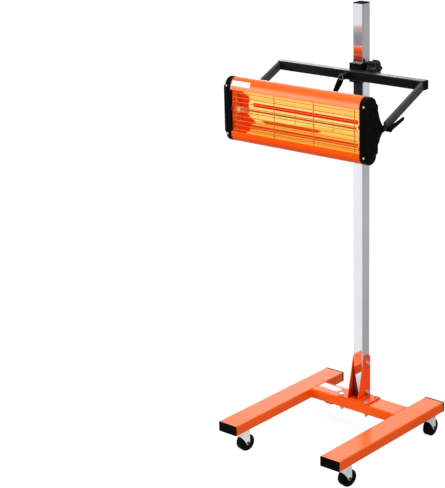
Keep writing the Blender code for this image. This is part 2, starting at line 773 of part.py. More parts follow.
def build_bolts(root):
    grip = RAIL_HEIGHT + SEAT_GAP + BRACKET_PLATE_THICKNESS
    corners = ("front_left", "front_right", "rear_left", "rear_right")
    for name, (x, y) in zip(corners, plate_bolt_places()):
        add_piece("plate_bolt_" + name, bolt_mesh(grip), ZINC, root, (x, y, CASTER_HEIGHT))
    for name, height in mast_bolt_heights().items():
        place = (-CHEEK_OUTER, 0, height)
        add_piece("mast_bolt_" + name, bolt_mesh(2 * CHEEK_OUTER), ZINC, root, place, ALONG_X)


def build_mast(root):
    middle = (MAST_FOOT + MAST_TOP) / 2
    radius = BOLT_DIAMETER / 2 + HOLE_CLEARANCE
    reach = MAST_SIDE / 2 + CUT_OVERRUN
    holes = []
    for height in mast_bolt_heights().values():
        holes.append(rod_mesh((-reach, 0, height - middle), (reach, 0, height - middle), radius))
    mast = drilled_tube(MAST_SIDE, MAST_SIDE, MAST_WALL, MAST_CORNER, MAST_LENGTH, holes)
    add_piece("mast_tube", mast, CHROME, root, (0, 0, middle))
    plug = end_plug(MAST_SIDE, MAST_SIDE, MAST_WALL, MAST_CORNER, PLUG_FLANGE)
    turn = Matrix.Rotation(math.radians(180), 4, "X")
    add_piece("mast_plug", plug, BLACK_PLASTIC, root, (0, 0, MAST_TOP + SEAT_GAP), turn)


# Collar, knob and swivel

def build_collar(slider):
    """A block with a square bore, a knob boss on its right and a bolt hole in its thick front."""
    depth = COLLAR_BACK - COLLAR_FRONT
    middle = (COLLAR_BACK + COLLAR_FRONT) / 2
    outer = [(x, y + middle) for x, y in rounded_rectangle(COLLAR_WIDTH, depth, COLLAR_CORNER)]
    inner = rounded_rectangle(COLLAR_BORE, COLLAR_BORE, COLLAR_CORNER)
    block = tube_mesh(outer, inner, COLLAR_ABOVE_AXIS - COLLAR_HEIGHT, COLLAR_ABOVE_AXIS)
    wall = COLLAR_WIDTH / 2
    root_of_boss = (wall + COLLAR_BORE / 2) / 2
    boss = rod_mesh((root_of_boss, 0, KNOB_ABOVE_AXIS), (wall + KNOB_BOSS_HEIGHT, 0, KNOB_ABOVE_AXIS),
                    KNOB_BOSS_DIAMETER / 2)
    block = combined(block, boss, "UNION")
    knob_hole = rod_mesh((0, 0, KNOB_ABOVE_AXIS), (wall + KNOB_BOSS_HEIGHT + CUT_OVERRUN, 0, KNOB_ABOVE_AXIS),
                         KNOB_SCREW_DIAMETER / 2 + HOLE_CLEARANCE)
    bolt_hole = rod_mesh((0, COLLAR_FRONT - CUT_OVERRUN, 0), (0, 0, 0),
                         SWIVEL_BOLT_DIAMETER / 2 + HOLE_CLEARANCE)
    add_piece("collar", cut_from(block, [knob_hole, bolt_hole]), BLACK_PAINT, slider)


def lobed(radius):
    """A star knob's outline: a circle with scoops between its lobes, one of which lies along +y."""
    points = []
    for index in range(KNOB_POINTS):
        angle = 2 * math.pi * index / KNOB_POINTS
        scoop = (1 - math.cos(KNOB_LOBES * (angle - math.pi / 2))) / 2
        reach = radius * (1 - KNOB_LOBE_DEPTH_SHARE * scoop)
        points.append((reach * math.cos(angle), reach * math.sin(angle)))
    return points


def build_knob(slider):
    """Star knob and its clamping screw about +Z, with z = 0 at the boss that it faces."""
    face = COLLAR_WIDTH / 2 + KNOB_BOSS_HEIGHT + SEAT_GAP
    tip = MAST_SIDE / 2 + HOLE_CLEARANCE - face
    screw = circle(KNOB_SCREW_DIAMETER / 2, KNOB_POINTS)
    hub = circle(KNOB_HUB_DIAMETER / 2, KNOB_POINTS)
    radius = KNOB_DIAMETER / 2
    nose = KNOB_NOSE_DIAMETER / 2
    low = KNOB_HUB_HEIGHT
    high = low + KNOB_THICKNESS
    knob = stacked([
        (screw, tip),
        (screw, 0),
        (hub, 0),
        (hub, low),
        (lobed(radius - KNOB_EDGE), low),
        (lobed(radius), low + KNOB_EDGE),
        (lobed(radius), high - KNOB_TAPER_HEIGHT),
        (lobed(nose), high - KNOB_EDGE / 2),
        (lobed(nose - KNOB_EDGE / 2), high),
        (hub, high),
        (hub, high - KNOB_DISH),
    ])
    add_piece("collar_knob", knob, BLACK_PLASTIC, slider, (face, 0, KNOB_ABOVE_AXIS), ALONG_X)


def build_swivel(slider):
    """The bolt fixed in the collar's front wall and the bush that spaces the beam off it."""
    start = COLLAR_FRONT + SWIVEL_BOLT_IN_COLLAR
    end = BEAM_FRONT - SEAT_GAP - SWIVEL_HUB_LENGTH + LEVER_END_WALL
    radius = SWIVEL_BOLT_DIAMETER / 2
    bolt = stacked([(circle(radius), 0), (circle(radius), start - end)])
    add_piece("swivel_bolt", bolt, ZINC, slider, (0, start, 0), ALONG_MINUS_Y)
    outer = circle(BUSH_DIAMETER / 2)
    inner = circle(radius + HOLE_CLEARANCE)
    bush = tube_mesh(outer, inner, 0, BUSH_THICKNESS)
    add_piece("swivel_bush", bush, BLACK_PLASTIC, slider, (0, COLLAR_FRONT - SEAT_GAP, 0), ALONG_MINUS_Y)


def clamp_lever(hub_diameter, hub_length, bolt_diameter, grip_width):
    """A clamp lever about +Z with z = 0 at the face that it clamps, its handle along +X."""
    bore = bolt_diameter / 2 + HOLE_CLEARANCE
    depth = hub_length - LEVER_END_WALL + SEAT_GAP
    edge = LEVER_HUB_EDGE
    radius = hub_diameter / 2
    hub = stacked([
        (circle(bore), depth),
        (circle(bore), 0),
        (circle(radius), 0),
        (circle(radius), hub_length - edge),
        (circle(radius - edge), hub_length),
        (circle(radius - 2 * edge), hub_length),
        (circle(radius - 2 * edge), hub_length - edge),
    ])
    height = hub_length - LEVER_GRIP_THICKNESS / 2 - LEVER_GRIP_RISE
    root = (bore + radius) / 2
    rings = []
    for reach_share, rise_share, size_share in GRIP_SHARES:
        reach = root + (LEVER_REACH - root) * reach_share
        rise = height + rise_share * LEVER_GRIP_RISE
        ring = circle(size_share / 2, GRIP_POINTS)
        rings.append([(reach, a * grip_width, rise + b * LEVER_GRIP_THICKNESS) for a, b in ring])
    return combined(hub, ring_mesh(rings), "UNION")


def build_levers(slider, yoke):
    turn = ALONG_MINUS_Y @ Matrix.Rotation(math.radians(-90 - SWIVEL_LEVER_TURN), 4, "Z")
    lever = clamp_lever(SWIVEL_HUB_DIAMETER, SWIVEL_HUB_LENGTH, SWIVEL_BOLT_DIAMETER, SWIVEL_GRIP_WIDTH)
    add_piece("swivel_clamp_lever", lever, BLACK_PLASTIC, slider, (0, BEAM_FRONT - SEAT_GAP, 0), turn)
    turn = ALONG_X @ Matrix.Rotation(math.radians(90 + TILT_LEVER_TURN), 4, "Z")
    lever = clamp_lever(TILT_HUB_DIAMETER, TILT_HUB_LENGTH, PIVOT_BOLT_DIAMETER, TILT_GRIP_WIDTH)
    place = (ARM_OUTER + SEAT_GAP, PIVOT_Y, PIVOT_RISE)
    add_piece("tilt_clamp_lever", lever, BLACK_PLASTIC, yoke, place, turn)


# Yoke

def build_yoke(yoke):
    """A square beam with plugged ends and two flat bars that run forward and down to the head."""
    reach = BEAM_SIDE / 2 + CUT_OVERRUN
    hole = rod_mesh((0, -reach, 0), (0, reach, 0), SWIVEL_BOLT_DIAMETER / 2 + HOLE_CLEARANCE)
    beam = drilled_tube(BEAM_SIDE, BEAM_SIDE, BEAM_WALL, BEAM_CORNER, BEAM_LENGTH, [hole])
    middle = (BEAM_FRONT + BEAM_BACK) / 2
    add_piece("yoke_beam", beam, BLACK_PAINT, yoke, (0, middle, 0), ALONG_X)
    for side, name, turn in ((-1, "left", ALONG_X), (1, "right", ALONG_MINUS_X)):
        plug = end_plug(BEAM_SIDE, BEAM_SIDE, BEAM_WALL, BEAM_CORNER, BEAM_PLUG_FLANGE)
        place = (side * (BEAM_LENGTH / 2 + SEAT_GAP), middle, 0)
        add_piece("beam_plug_" + name, plug, BLACK_PLASTIC, yoke, place, turn)
        add_piece("yoke_arm_" + name, arm_mesh(side), BLACK_PAINT, yoke)


def arm_mesh(side):
    """A flat bar in the plane of the beam's end, with a round eye for the pivot at its lower corner."""
    upright = ARM_BAR_HEIGHT / math.cos(ARM_SLOPE)
    radius = PIVOT_FROM_ARM_END
    under_edge = ARM_TOP - upright - math.tan(ARM_SLOPE) * (ARM_ROOT - PIVOT_Y)
    offset = (PIVOT_RISE - under_edge) * math.cos(ARM_SLOPE)
    start = ARM_SLOPE - math.pi / 2 + math.acos(offset / radius)
    eye = []
    for step in range(ARM_EYE_STEPS + 1):
        angle = start - (start + math.pi) * step / ARM_EYE_STEPS
        eye.append((PIVOT_Y + radius * math.cos(angle), PIVOT_RISE + radius * math.sin(angle)))
    outline = [(ARM_ROOT, ARM_TOP), (ARM_ROOT, ARM_TOP - upright)] + eye + [(ARM_END, ARM_TOP - ARM_DROP)]
    bar = prism(outline, side * ARM_INNER, side * ARM_OUTER, "yz")
    low = (side * (ARM_INNER - CUT_OVERRUN), PIVOT_Y, PIVOT_RISE)
    high = (side * (ARM_OUTER + CUT_OVERRUN), PIVOT_Y, PIVOT_RISE)
    hole = rod_mesh(low, high, PIVOT_BOLT_DIAMETER / 2 + HOLE_CLEARANCE)
    return cut_from(bar, [hole])


# Lamp head, placed from the pivot's axis

def build_housing(head):
    """An extrusion of one sheet: round top and bottom, flat back, and a window in front."""
    radius = HOUSING_DEPTH / 2
    middle = -PIVOT_BEHIND_HOUSING - radius
    centre = HOUSING_HEIGHT / 2 - radius
    wall = HOUSING_WALL
    front = middle - radius
    angles = [math.radians(180 - 180 * step / STADIUM_STEPS) for step in range(STADIUM_STEPS + 1)]
    bend = [(math.cos(angle), math.sin(angle)) for angle in angles]
    upper = [(middle + radius * across, centre + radius * up) for across, up in bend]
    lower = [(y, -z) for y, z in reversed(upper)]
    inner = radius - wall
    inner_upper = [(middle + inner * across, centre + inner * up) for across, up in bend]
    inner_lower = [(y, -z) for y, z in reversed(inner_upper)]
    lip = WINDOW_HEIGHT / 2
    outline = [(front, lip)] + upper + lower + [(front, -lip), (front + wall, -lip)]
    outline += list(reversed(inner_lower)) + list(reversed(inner_upper)) + [(front + wall, lip)]
    half = HOUSING_LENGTH / 2
    housing = prism(outline, -half, half, "yz")
    add_piece("lamp_housing", housing, ORANGE_PAINT, head, (0, 0, LAMP_ABOVE_PIVOT))


def build_reflector(head):
    """A folded trough: flat back against the housing and slanted sides out to the window."""
    back = -PIVOT_BEHIND_HOUSING - HOUSING_WALL - SEAT_GAP
    front = -PIVOT_BEHIND_HOUSING - HOUSING_DEPTH + REFLECTOR_FRONT_MARGIN
    mouth = REFLECTOR_MOUTH_HEIGHT / 2
    panel = REFLECTOR_BACK_HEIGHT / 2
    slant = math.atan2(mouth - panel, back - front)
    step = REFLECTOR_SHEET * math.tan((math.pi / 2 - slant) / 2)
    outside = [(front, mouth), (back, panel), (back, -panel), (front, -mouth)]
    shift = REFLECTOR_SHEET / math.cos(slant)
    inner_panel = panel - step
    inside = [
        (front, -mouth + shift),
        (back - REFLECTOR_SHEET, -inner_panel),
        (back - REFLECTOR_SHEET, inner_panel),
        (front, mouth - shift),
    ]
    half = HOUSING_LENGTH / 2 - REFLECTOR_END_MARGIN
    trough = prism(outside + inside, -half, half, "yz")
    add_piece("reflector", trough, MIRROR, head, (0, 0, LAMP_ABOVE_PIVOT))


def ear_outline():
    """A pivot ear: a round tip about the pivot, swept out to a broad root on the cap."""
    root = -PIVOT_BEHIND_HOUSING - EAR_ROOT_DEPTH
    back = -PIVOT_BEHIND_HOUSING
    radius = EAR_TIP_RADIUS
    tip = []
    for step in range(-EAR_CURVE_STEPS, EAR_CURVE_STEPS + 1):
        angle = math.radians(90 * step / EAR_CURVE_STEPS)
        tip.append((radius * math.cos(angle), radius * math.sin(angle)))
    shoulder = (-EAR_TOP_SETBACK, EAR_TOP_RISE)
    foot = (-EAR_BOTTOM_SETBACK, -EAR_BOTTOM_DROP)
    upper = bezier((0, radius), (-EAR_WEB_SETBACK, radius), shoulder, EAR_CURVE_STEPS)[1:]
    lower = bezier(foot, (-EAR_WEB_SETBACK, -radius), (0, -radius), EAR_CURVE_STEPS)[:-1]
    top = EAR_TOP_RISE + EAR_ROOT_SPREAD
    bottom = -EAR_BOTTOM_DROP - EAR_ROOT_SPREAD
    return tip + upper + [(back, top), (root, top), (root, bottom), (back, bottom)] + lower


def end_cap():
    """The right end cap about the pivot's axis: hollow flange, finned block and pivot ear."""
    middle = -PIVOT_BEHIND_HOUSING - HOUSING_DEPTH / 2
    rise = LAMP_ABOVE_PIVOT + FIN_BLOCK_ABOVE_MIDDLE

    def slot(inset):
        outline = stadium(HOUSING_DEPTH - 2 * inset, HOUSING_HEIGHT - 2 * inset)
        return [(middle + y, LAMP_ABOVE_PIVOT + z) for y, z in outline]

    flange = ring_mesh([[(x, y, z) for y, z in outline] for outline, x in (
        (slot(CAP_WALL), CAP_OUTER - CAP_WALL),
        (slot(CAP_WALL), CAP_INNER),
        (slot(0), CAP_INNER),
        (slot(0), CAP_OUTER - CAP_EDGE),
        (slot(CAP_EDGE / 3), CAP_OUTER - CAP_EDGE / 3),
        (slot(CAP_EDGE), CAP_OUTER),
    )])

    def block(inset, slant):
        depth = FIN_BLOCK_DEPTH - 2 * inset
        height = FIN_BLOCK_HEIGHT - 2 * slant
        return [(middle + y, rise + z) for y, z in rounded_rectangle(depth, height, FIN_BLOCK_ROUNDING)]

    face = CAP_OUTER + FIN_BLOCK_RISE
    fins = ring_mesh([[(x, y, z) for y, z in outline] for outline, x in (
        (block(0, 0), CAP_OUTER - CAP_WALL / 2),
        (block(0, 0), CAP_OUTER + FIN_BLOCK_ROUNDING),
        (block(0, FIN_BLOCK_SLANT), face - FIN_BLOCK_ROUNDING),
        (block(FIN_BLOCK_ROUNDING, FIN_BLOCK_SLANT + FIN_BLOCK_ROUNDING), face),
    )])
    pitch = FIN_BLOCK_DEPTH / (FIN_GROOVES + 1)
    reach = HOUSING_HEIGHT / 2 + CUT_OVERRUN
    grooves = []
    for index in range(FIN_GROOVES):
        y = middle + pitch * (index - (FIN_GROOVES - 1) / 2)
        low = (face - FIN_GROOVE_DEPTH, y - FIN_GROOVE_WIDTH / 2, LAMP_ABOVE_PIVOT - reach)
        high = (face + CUT_OVERRUN, y + FIN_GROOVE_WIDTH / 2, LAMP_ABOVE_PIVOT + reach)
        grooves.append(box_mesh(low, high))
    cap = cut_from(combined(flange, fins, "UNION"), grooves)
    ear = prism(ear_outline(), EAR_INNER, EAR_OUTER, "yz")
    cap = combined(cap, ear, "UNION")
    radius = PIVOT_BOLT_DIAMETER / 2 + HOLE_CLEARANCE
    hole = rod_mesh((EAR_INNER - CUT_OVERRUN, 0, 0), (EAR_OUTER + CUT_OVERRUN, 0, 0), radius)
    return cut_from(cap, [hole])


def mirrored(mesh):
    """The same solid on the other side of x = 0."""
    shape = bmesh.new()
    shape.from_mesh(mesh)
    bmesh.ops.scale(shape, verts=shape.verts, vec=(-1, 1, 1))
    bmesh.ops.reverse_faces(shape, faces=shape.faces)
    result = bpy.data.meshes.new("mirrored")
    shape.to_mesh(result)
    shape.free()
    return result


def build_caps(head):
    right = end_cap()
    back = -PIVOT_BEHIND_HOUSING
    x = -(CAP_INNER + CAP_OUTER) / 2
    radius = GLAND_THREAD_DIAMETER / 2 + HOLE_CLEARANCE
    start = (x, back - CAP_WALL - CUT_OVERRUN, -GLAND_BELOW_PIVOT)
    hole = rod_mesh(start, (x, back + CUT_OVERRUN, -GLAND_BELOW_PIVOT), radius)
    left = cut_from(mirrored(right), [hole])
    add_piece("end_cap_right", right, BLACK_PLASTIC, head)
    add_piece("end_cap_left", left, BLACK_PLASTIC, head)
    thread = circle(GLAND_THREAD_DIAMETER / 2)
    flange = hexagon(GLAND_FLATS)
    mouth = circle(GLAND_MOUTH_DIAMETER / 2)
    bore = circle(GLAND_BORE_DIAMETER / 2)
    inside = -CAP_WALL - GLAND_INSIDE
    nut = GLAND_FLANGE_HEIGHT + GLAND_NUT_HEIGHT
    gland = stacked([
        (bore, inside),
        (thread, inside),
        (thread, SEAT_GAP),
        (flange, SEAT_GAP),
        (flange, GLAND_FLANGE_HEIGHT),
        (mouth, nut - GLAND_FLANGE_HEIGHT / 2),
        (mouth, nut),
        (bore, nut),
    ], closed=True)
    add_piece("cable_gland", gland, BLACK_PLASTIC, head, (x, back, -GLAND_BELOW_PIVOT), ALONG_Y)


def build_pivots(head):
    """The two pivot bolts, each through an ear and an arm; the left one has its own nut."""
    shank = circle(PIVOT_BOLT_DIAMETER / 2)
    bolt_head = circle(PIVOT_HEAD_DIAMETER / 2)
    nut = hexagon(PIVOT_NUT_FLATS)
    start = EAR_INNER - SEAT_GAP
    arm_face = ARM_OUTER + SEAT_GAP
    sections = [(bolt_head, -PIVOT_HEAD_HEIGHT), (bolt_head, 0), (shank, 0)]
    right_end = arm_face + TILT_HUB_LENGTH - LEVER_END_WALL - start
    nut_low = arm_face - start
    nut_high = nut_low + PIVOT_NUT_HEIGHT
    right = stacked(sections + [(shank, right_end)])
    left = stacked(sections + [
        (shank, nut_low),
        (nut, nut_low),
        (nut, nut_high),
        (shank, nut_high),
        (shank, nut_high + PIVOT_TAIL),
    ])
    add_piece("pivot_bolt_right", right, ZINC, head, (start, 0, 0), ALONG_X)
    add_piece("pivot_bolt_left", left, ZINC, head, (-start, 0, 0), ALONG_MINUS_X)


def build_grille(head):
    """Level wires welded to upright stays whose ends sit behind the window's lips."""
    front = -PIVOT_BEHIND_HOUSING - HOUSING_DEPTH
    stay_y = front + HOUSING_WALL + SEAT_GAP + GRILLE_STAY / 2
    wire_y = stay_y - GRILLE_STAY / 2 - GRILLE_WIRE / 2 + GRILLE_WELD_SINK
    half = HOUSING_LENGTH / 2 - GRILLE_END_MARGIN
    pitch = WINDOW_HEIGHT / GRILLE_WIRES
    wires = []
    for index in range(GRILLE_WIRES):
        z = pitch * (index - (GRILLE_WIRES - 1) / 2)
        wires.append(rod_mesh((-half, wire_y, z), (half, wire_y, z), GRILLE_WIRE / 2, GRILLE_SIDES))
    reach = WINDOW_HEIGHT / 2 + GRILLE_STAY_OVERLAP
    stays = []
    for index in range(GRILLE_STAYS):
        x = HOUSING_LENGTH * GRILLE_PITCH_SHARE * (index - (GRILLE_STAYS - 1) / 2)
        stays.append(rod_mesh((x, stay_y, -reach), (x, stay_y, reach), GRILLE_STAY / 2, GRILLE_SIDES))
    grille = combined(joined(wires), joined(stays), "UNION")
    add_piece("grille", grille, WIRE, head, (0, 0, LAMP_ABOVE_PIVOT))


def build_heater(head):
    """Quartz tube, its coiled filament as one rod, and a ceramic holder at each end."""
    y = -PIVOT_BEHIND_HOUSING - HOUSING_DEPTH + TUBE_BEHIND_FRONT
    place = (0, y, LAMP_ABOVE_PIVOT)
    mouth = HOUSING_LENGTH / 2 - HOLDER_INSIDE_HOUSING
    floor = mouth + HOLDER_SOCKET_DEPTH
    half = floor - SEAT_GAP
    radius = TUBE_DIAMETER / 2
    tube = tube_mesh(circle(radius), circle(radius - TUBE_WALL), -half, half)
    add_piece("quartz_tube", tube, QUARTZ, head, place, ALONG_X)
    filament = stacked([(circle(FILAMENT_DIAMETER / 2, GRILLE_SIDES), end) for end in (-half, half)])
    add_piece("filament", filament, TUNGSTEN, head, place, ALONG_X)
    end = CAP_OUTER - CAP_WALL - SEAT_GAP
    block = rounded_rectangle(HOLDER_SIDE, HOLDER_SIDE, HOLDER_ROUNDING, CORNER_STEPS + 1)
    socket = circle(radius + HOLE_CLEARANCE, len(block))
    shift = len(block) // 8
    socket = socket[-shift:] + socket[:-shift] if shift else socket
    holder = stacked([(socket, floor), (socket, mouth), (block, mouth), (block, end)])
    for name, turn in (("left", ALONG_MINUS_X), ("right", ALONG_X)):
        add_piece("tube_holder_" + name, holder.copy(), CERAMIC, head, place, turn)


def clear_scene():
    for item in list(bpy.data.objects):
        bpy.data.objects.remove(item)


def build_stand():
    clear_scene()
    root = make_empty("stand", -FRAME_MIDDLE)
    build_rails(root)
    build_cross_member(root)
    build_casters(root)
    build_bracket(root)
    build_bolts(root)
    build_mast(root)
    slider = make_empty("collar_slide", (0, 0, YOKE_HEIGHT), root)
    build_collar(slider)
    build_knob(slider)
    build_swivel(slider)
    yoke = make_empty("yoke_swivel", (0, 0, 0), slider)
    build_yoke(yoke)
    build_levers(slider, yoke)
    head = make_empty("head_tilt", (0, PIVOT_Y, PIVOT_RISE), yoke)
    build_housing(head)
    build_reflector(head)
    build_caps(head)
    build_pivots(head)
    build_grille(head)
    build_heater(head)


build_stand()
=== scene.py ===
"""Looks of the infrared paint curing lamp: camera, stage, lights, materials and fine pieces.

Units are metres, +Z is up, and the lamp faces -Y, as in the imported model.
"""
import json
import math

import bmesh
import bpy
from mathutils import Matrix, Vector


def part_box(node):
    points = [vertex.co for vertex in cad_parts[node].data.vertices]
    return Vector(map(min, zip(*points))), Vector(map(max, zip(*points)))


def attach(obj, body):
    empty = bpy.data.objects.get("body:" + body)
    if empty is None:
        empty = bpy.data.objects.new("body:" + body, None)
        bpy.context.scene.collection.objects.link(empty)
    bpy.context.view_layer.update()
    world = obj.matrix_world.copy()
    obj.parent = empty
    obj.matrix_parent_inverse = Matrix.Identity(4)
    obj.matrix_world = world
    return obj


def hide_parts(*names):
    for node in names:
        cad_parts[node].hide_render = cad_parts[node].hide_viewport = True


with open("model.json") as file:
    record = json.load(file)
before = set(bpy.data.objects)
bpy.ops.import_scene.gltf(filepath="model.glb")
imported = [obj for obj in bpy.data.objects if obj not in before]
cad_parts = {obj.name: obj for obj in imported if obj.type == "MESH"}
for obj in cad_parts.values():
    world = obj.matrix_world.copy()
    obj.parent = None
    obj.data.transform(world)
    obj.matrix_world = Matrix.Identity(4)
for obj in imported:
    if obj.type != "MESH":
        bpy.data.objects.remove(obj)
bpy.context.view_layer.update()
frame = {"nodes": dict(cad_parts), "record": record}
nodes = frame["nodes"]
scene = bpy.context.scene


# Camera at the photograph's viewing angle

CAMERA_PLACE = Vector((2.9762, -3.8706, 2.3264))
CAMERA_AZIMUTH = math.radians(41.7864)
CAMERA_DOWN = math.radians(18.1331)
CAMERA_ROLL = math.radians(-1.653)
CAMERA_LENS = 115.6
CAMERA_NEAR = 0.05
CAMERA_FAR = 100
SENSOR_WIDTH = 36.0


def make_camera():
    ahead = Vector((
        -math.sin(CAMERA_AZIMUTH) * math.cos(CAMERA_DOWN),
        math.cos(CAMERA_AZIMUTH) * math.cos(CAMERA_DOWN),
        -math.sin(CAMERA_DOWN),
    ))
    level = Vector((math.cos(CAMERA_AZIMUTH), math.sin(CAMERA_AZIMUTH), 0))
    upward = level.cross(ahead)
    right = level * math.cos(CAMERA_ROLL) + upward * math.sin(CAMERA_ROLL)
    up = upward * math.cos(CAMERA_ROLL) - level * math.sin(CAMERA_ROLL)
    data = bpy.data.cameras.new("camera")
    data.lens = CAMERA_LENS
    data.sensor_width = SENSOR_WIDTH
    data.sensor_fit = "AUTO"
    data.clip_start = CAMERA_NEAR
    data.clip_end = CAMERA_FAR
    camera = bpy.data.objects.new("camera", data)
    camera.matrix_world = Matrix((
        (right.x, up.x, -ahead.x, CAMERA_PLACE.x),
        (right.y, up.y, -ahead.y, CAMERA_PLACE.y),
        (right.z, up.z, -ahead.z, CAMERA_PLACE.z),
        (0, 0, 0, 1),
    ))
    scene.collection.objects.link(camera)
    scene.camera = camera


make_camera()
scene.view_settings.view_transform = "Standard"


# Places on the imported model

HOUSING_LOW, HOUSING_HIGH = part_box("lamp_housing")
HOUSING_MIDDLE = (HOUSING_LOW + HOUSING_HIGH) / 2
HOUSING_HALF_LENGTH = (HOUSING_HIGH.x - HOUSING_LOW.x) / 2
HOUSING_ROUND_RADIUS = (HOUSING_HIGH.y - HOUSING_LOW.y) / 2
TROUGH_LOW, TROUGH_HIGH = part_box("reflector")
TUBE_LOW, TUBE_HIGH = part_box("quartz_tube")
TUBE_MIDDLE = (TUBE_LOW + TUBE_HIGH) / 2


# Node helpers

EDGE_REACH = 0.25
CORNER_REACH = 0.05
CORNER_RANGE = (0.15, 0.75)
EDGE_PATCH_SCALE = 160.0
EDGE_PATCH_RANGE = (0.42, 0.62)
CLOUD_RANGE = (0.3, 0.7)
SPECK_RANGE = (0.35, 0.75)

# Sockets of a colour mix node, which has one of each name for every kind of value
MIX_SHARE, MIX_FIRST, MIX_SECOND = 0, 6, 7
MIX_RESULT = 2


def linear(red, green, blue):
    """A colour given as 0 to 255 on a screen, as a linear colour."""
    channels = []
    for value in (red, green, blue):
        share = value / 255
        channels.append(share / 12.92 if share <= 0.04045 else ((share + 0.055) / 1.055) ** 2.4)
    return (*channels, 1.0)


def scaled(colour, share):
    """A colour made brighter or darker."""
    return (*[min(1.0, channel * share) for channel in colour[:3]], 1.0)


class Graph:
    """A material's node tree, built call by call."""

    def __init__(self, tree):
        self.tree = tree
        tree.nodes.clear()

    def add(self, kind, inputs=None, **settings):
        node = self.tree.nodes.new("ShaderNode" + kind)
        for name, value in settings.items():
            setattr(node, name, value)
        for name, value in (inputs or {}).items():
            self.set(node, name, value)
        return node

    def set(self, node, name, value):
        socket = node.inputs[name]
        if isinstance(value, bpy.types.NodeSocket):
            self.tree.links.new(value, socket)
        else:
            socket.default_value = value

    def math(self, operation, first, second=0.0):
        return self.add("Math", {0: first, 1: second}, operation=operation).outputs[0]

    def times(self, first, second):
        return self.math("MULTIPLY", first, second)

    def plus(self, first, second):
        return self.math("ADD", first, second)

    def minus(self, first, second):
        return self.math("SUBTRACT", first, second)

    def vector_math(self, operation, first, second=(0, 0, 0)):
        return self.add("VectorMath", {0: first, 1: second}, operation=operation).outputs

    def span(self, value, low, high, to_low=0.0, to_high=1.0):
        """A value moved from one range to another, smoothly and clamped."""
        inputs = {"Value": value, "From Min": low, "From Max": high, "To Min": to_low, "To Max": to_high}
        return self.add("MapRange", inputs, interpolation_type="SMOOTHSTEP").outputs[0]

    def band(self, value, middle, half, soft):
        """About 1 within a strip of values and 0 outside it."""
        away = self.math("ABSOLUTE", self.minus(value, middle))
        return self.add("MapRange", {
            "Value": away, "From Min": self.minus(half, soft), "From Max": self.plus(half, soft),
            "To Min": 1.0, "To Max": 0.0,
        }).outputs[0]

    def mix(self, share, first, second):
        """The first colour, with a share of the second in it."""
        node = self.add("Mix", data_type="RGBA")
        self.set(node, MIX_SHARE, share)
        self.set(node, MIX_FIRST, first)
        self.set(node, MIX_SECOND, second)
        return node.outputs[MIX_RESULT]

    def place(self, stretch=(1, 1, 1)):
        """The point on the piece in metres, stretched for grain that runs one way."""
        point = self.add("TexCoord").outputs["Object"]
        if stretch == (1, 1, 1):
            return point
        return self.add("Mapping", {"Vector": point, "Scale": stretch}).outputs["Vector"]

    def place_from(self, origin):
        """The point's x, y and z from an origin, as three values."""
        point = self.vector_math("SUBTRACT", self.place(), tuple(origin))[0]
        return self.add("SeparateXYZ", {0: point}).outputs

    def noise(self, scale, detail=3.0, roughness=0.6, stretch=(1, 1, 1)):
        where = self.place(stretch)
        inputs = {"Vector": where, "Scale": scale, "Detail": detail, "Roughness": roughness}
        return self.add("TexNoise", inputs).outputs["Fac"]

    def rounded(self, radius):
        """The surface's direction, as if its edges had this radius."""
        return self.add("Bevel", {"Radius": radius}, samples=4).outputs["Normal"]

    def edges(self, radius):
        """About 1 on a sharp outer edge and 0 on a flat face."""
        flat = self.add("NewGeometry").outputs["Normal"]
        along = self.vector_math("DOT_PRODUCT", self.rounded(radius), flat)["Value"]
        return self.span(self.minus(1.0, along), 0.0, EDGE_REACH)

    def wear_and_highlight_edges(self, radius):
        """Patches along the outer edges."""
        patchy = self.span(self.noise(EDGE_PATCH_SCALE, detail=4.0, roughness=0.7), *EDGE_PATCH_RANGE)
        return self.times(self.edges(radius), patchy)

    def corners(self):
        """About 1 deep in a corner between faces and 0 on an open face; it masks painted shade."""
        open_share = self.add("AmbientOcclusion", {"Distance": CORNER_REACH}, samples=6).outputs["AO"]
        return self.span(self.minus(1.0, open_share), *CORNER_RANGE)

    def bumped(self, height, strength, distance, normal=None):
        node = self.add("Bump", {"Height": height, "Strength": strength, "Distance": distance})
        if normal is not None:
            self.set(node, "Normal", normal)
        return node.outputs["Normal"]

    def surface(self, shader):
        output = self.add("OutputMaterial")
        self.tree.links.new(shader.outputs[0], output.inputs["Surface"])


def new_graph(name):
    material = bpy.data.materials.new(name)
    material.use_nodes = True
    return material, Graph(material.node_tree)


# Materials of painted, moulded and plated pieces

CLOUD_SCALE = 9.0
SMUDGE_SCALE = 38.0
GRAIN_STRENGTH = 0.5
LEAST_ROUGHNESS = 0.02
EDGE_PATCH_ROUNDING = 1.6
DUST = linear(150, 140, 130)
DUSTY_SLOPE = (0.6, 1.0)
RUBBED_ORANGE = linear(255, 130, 70)


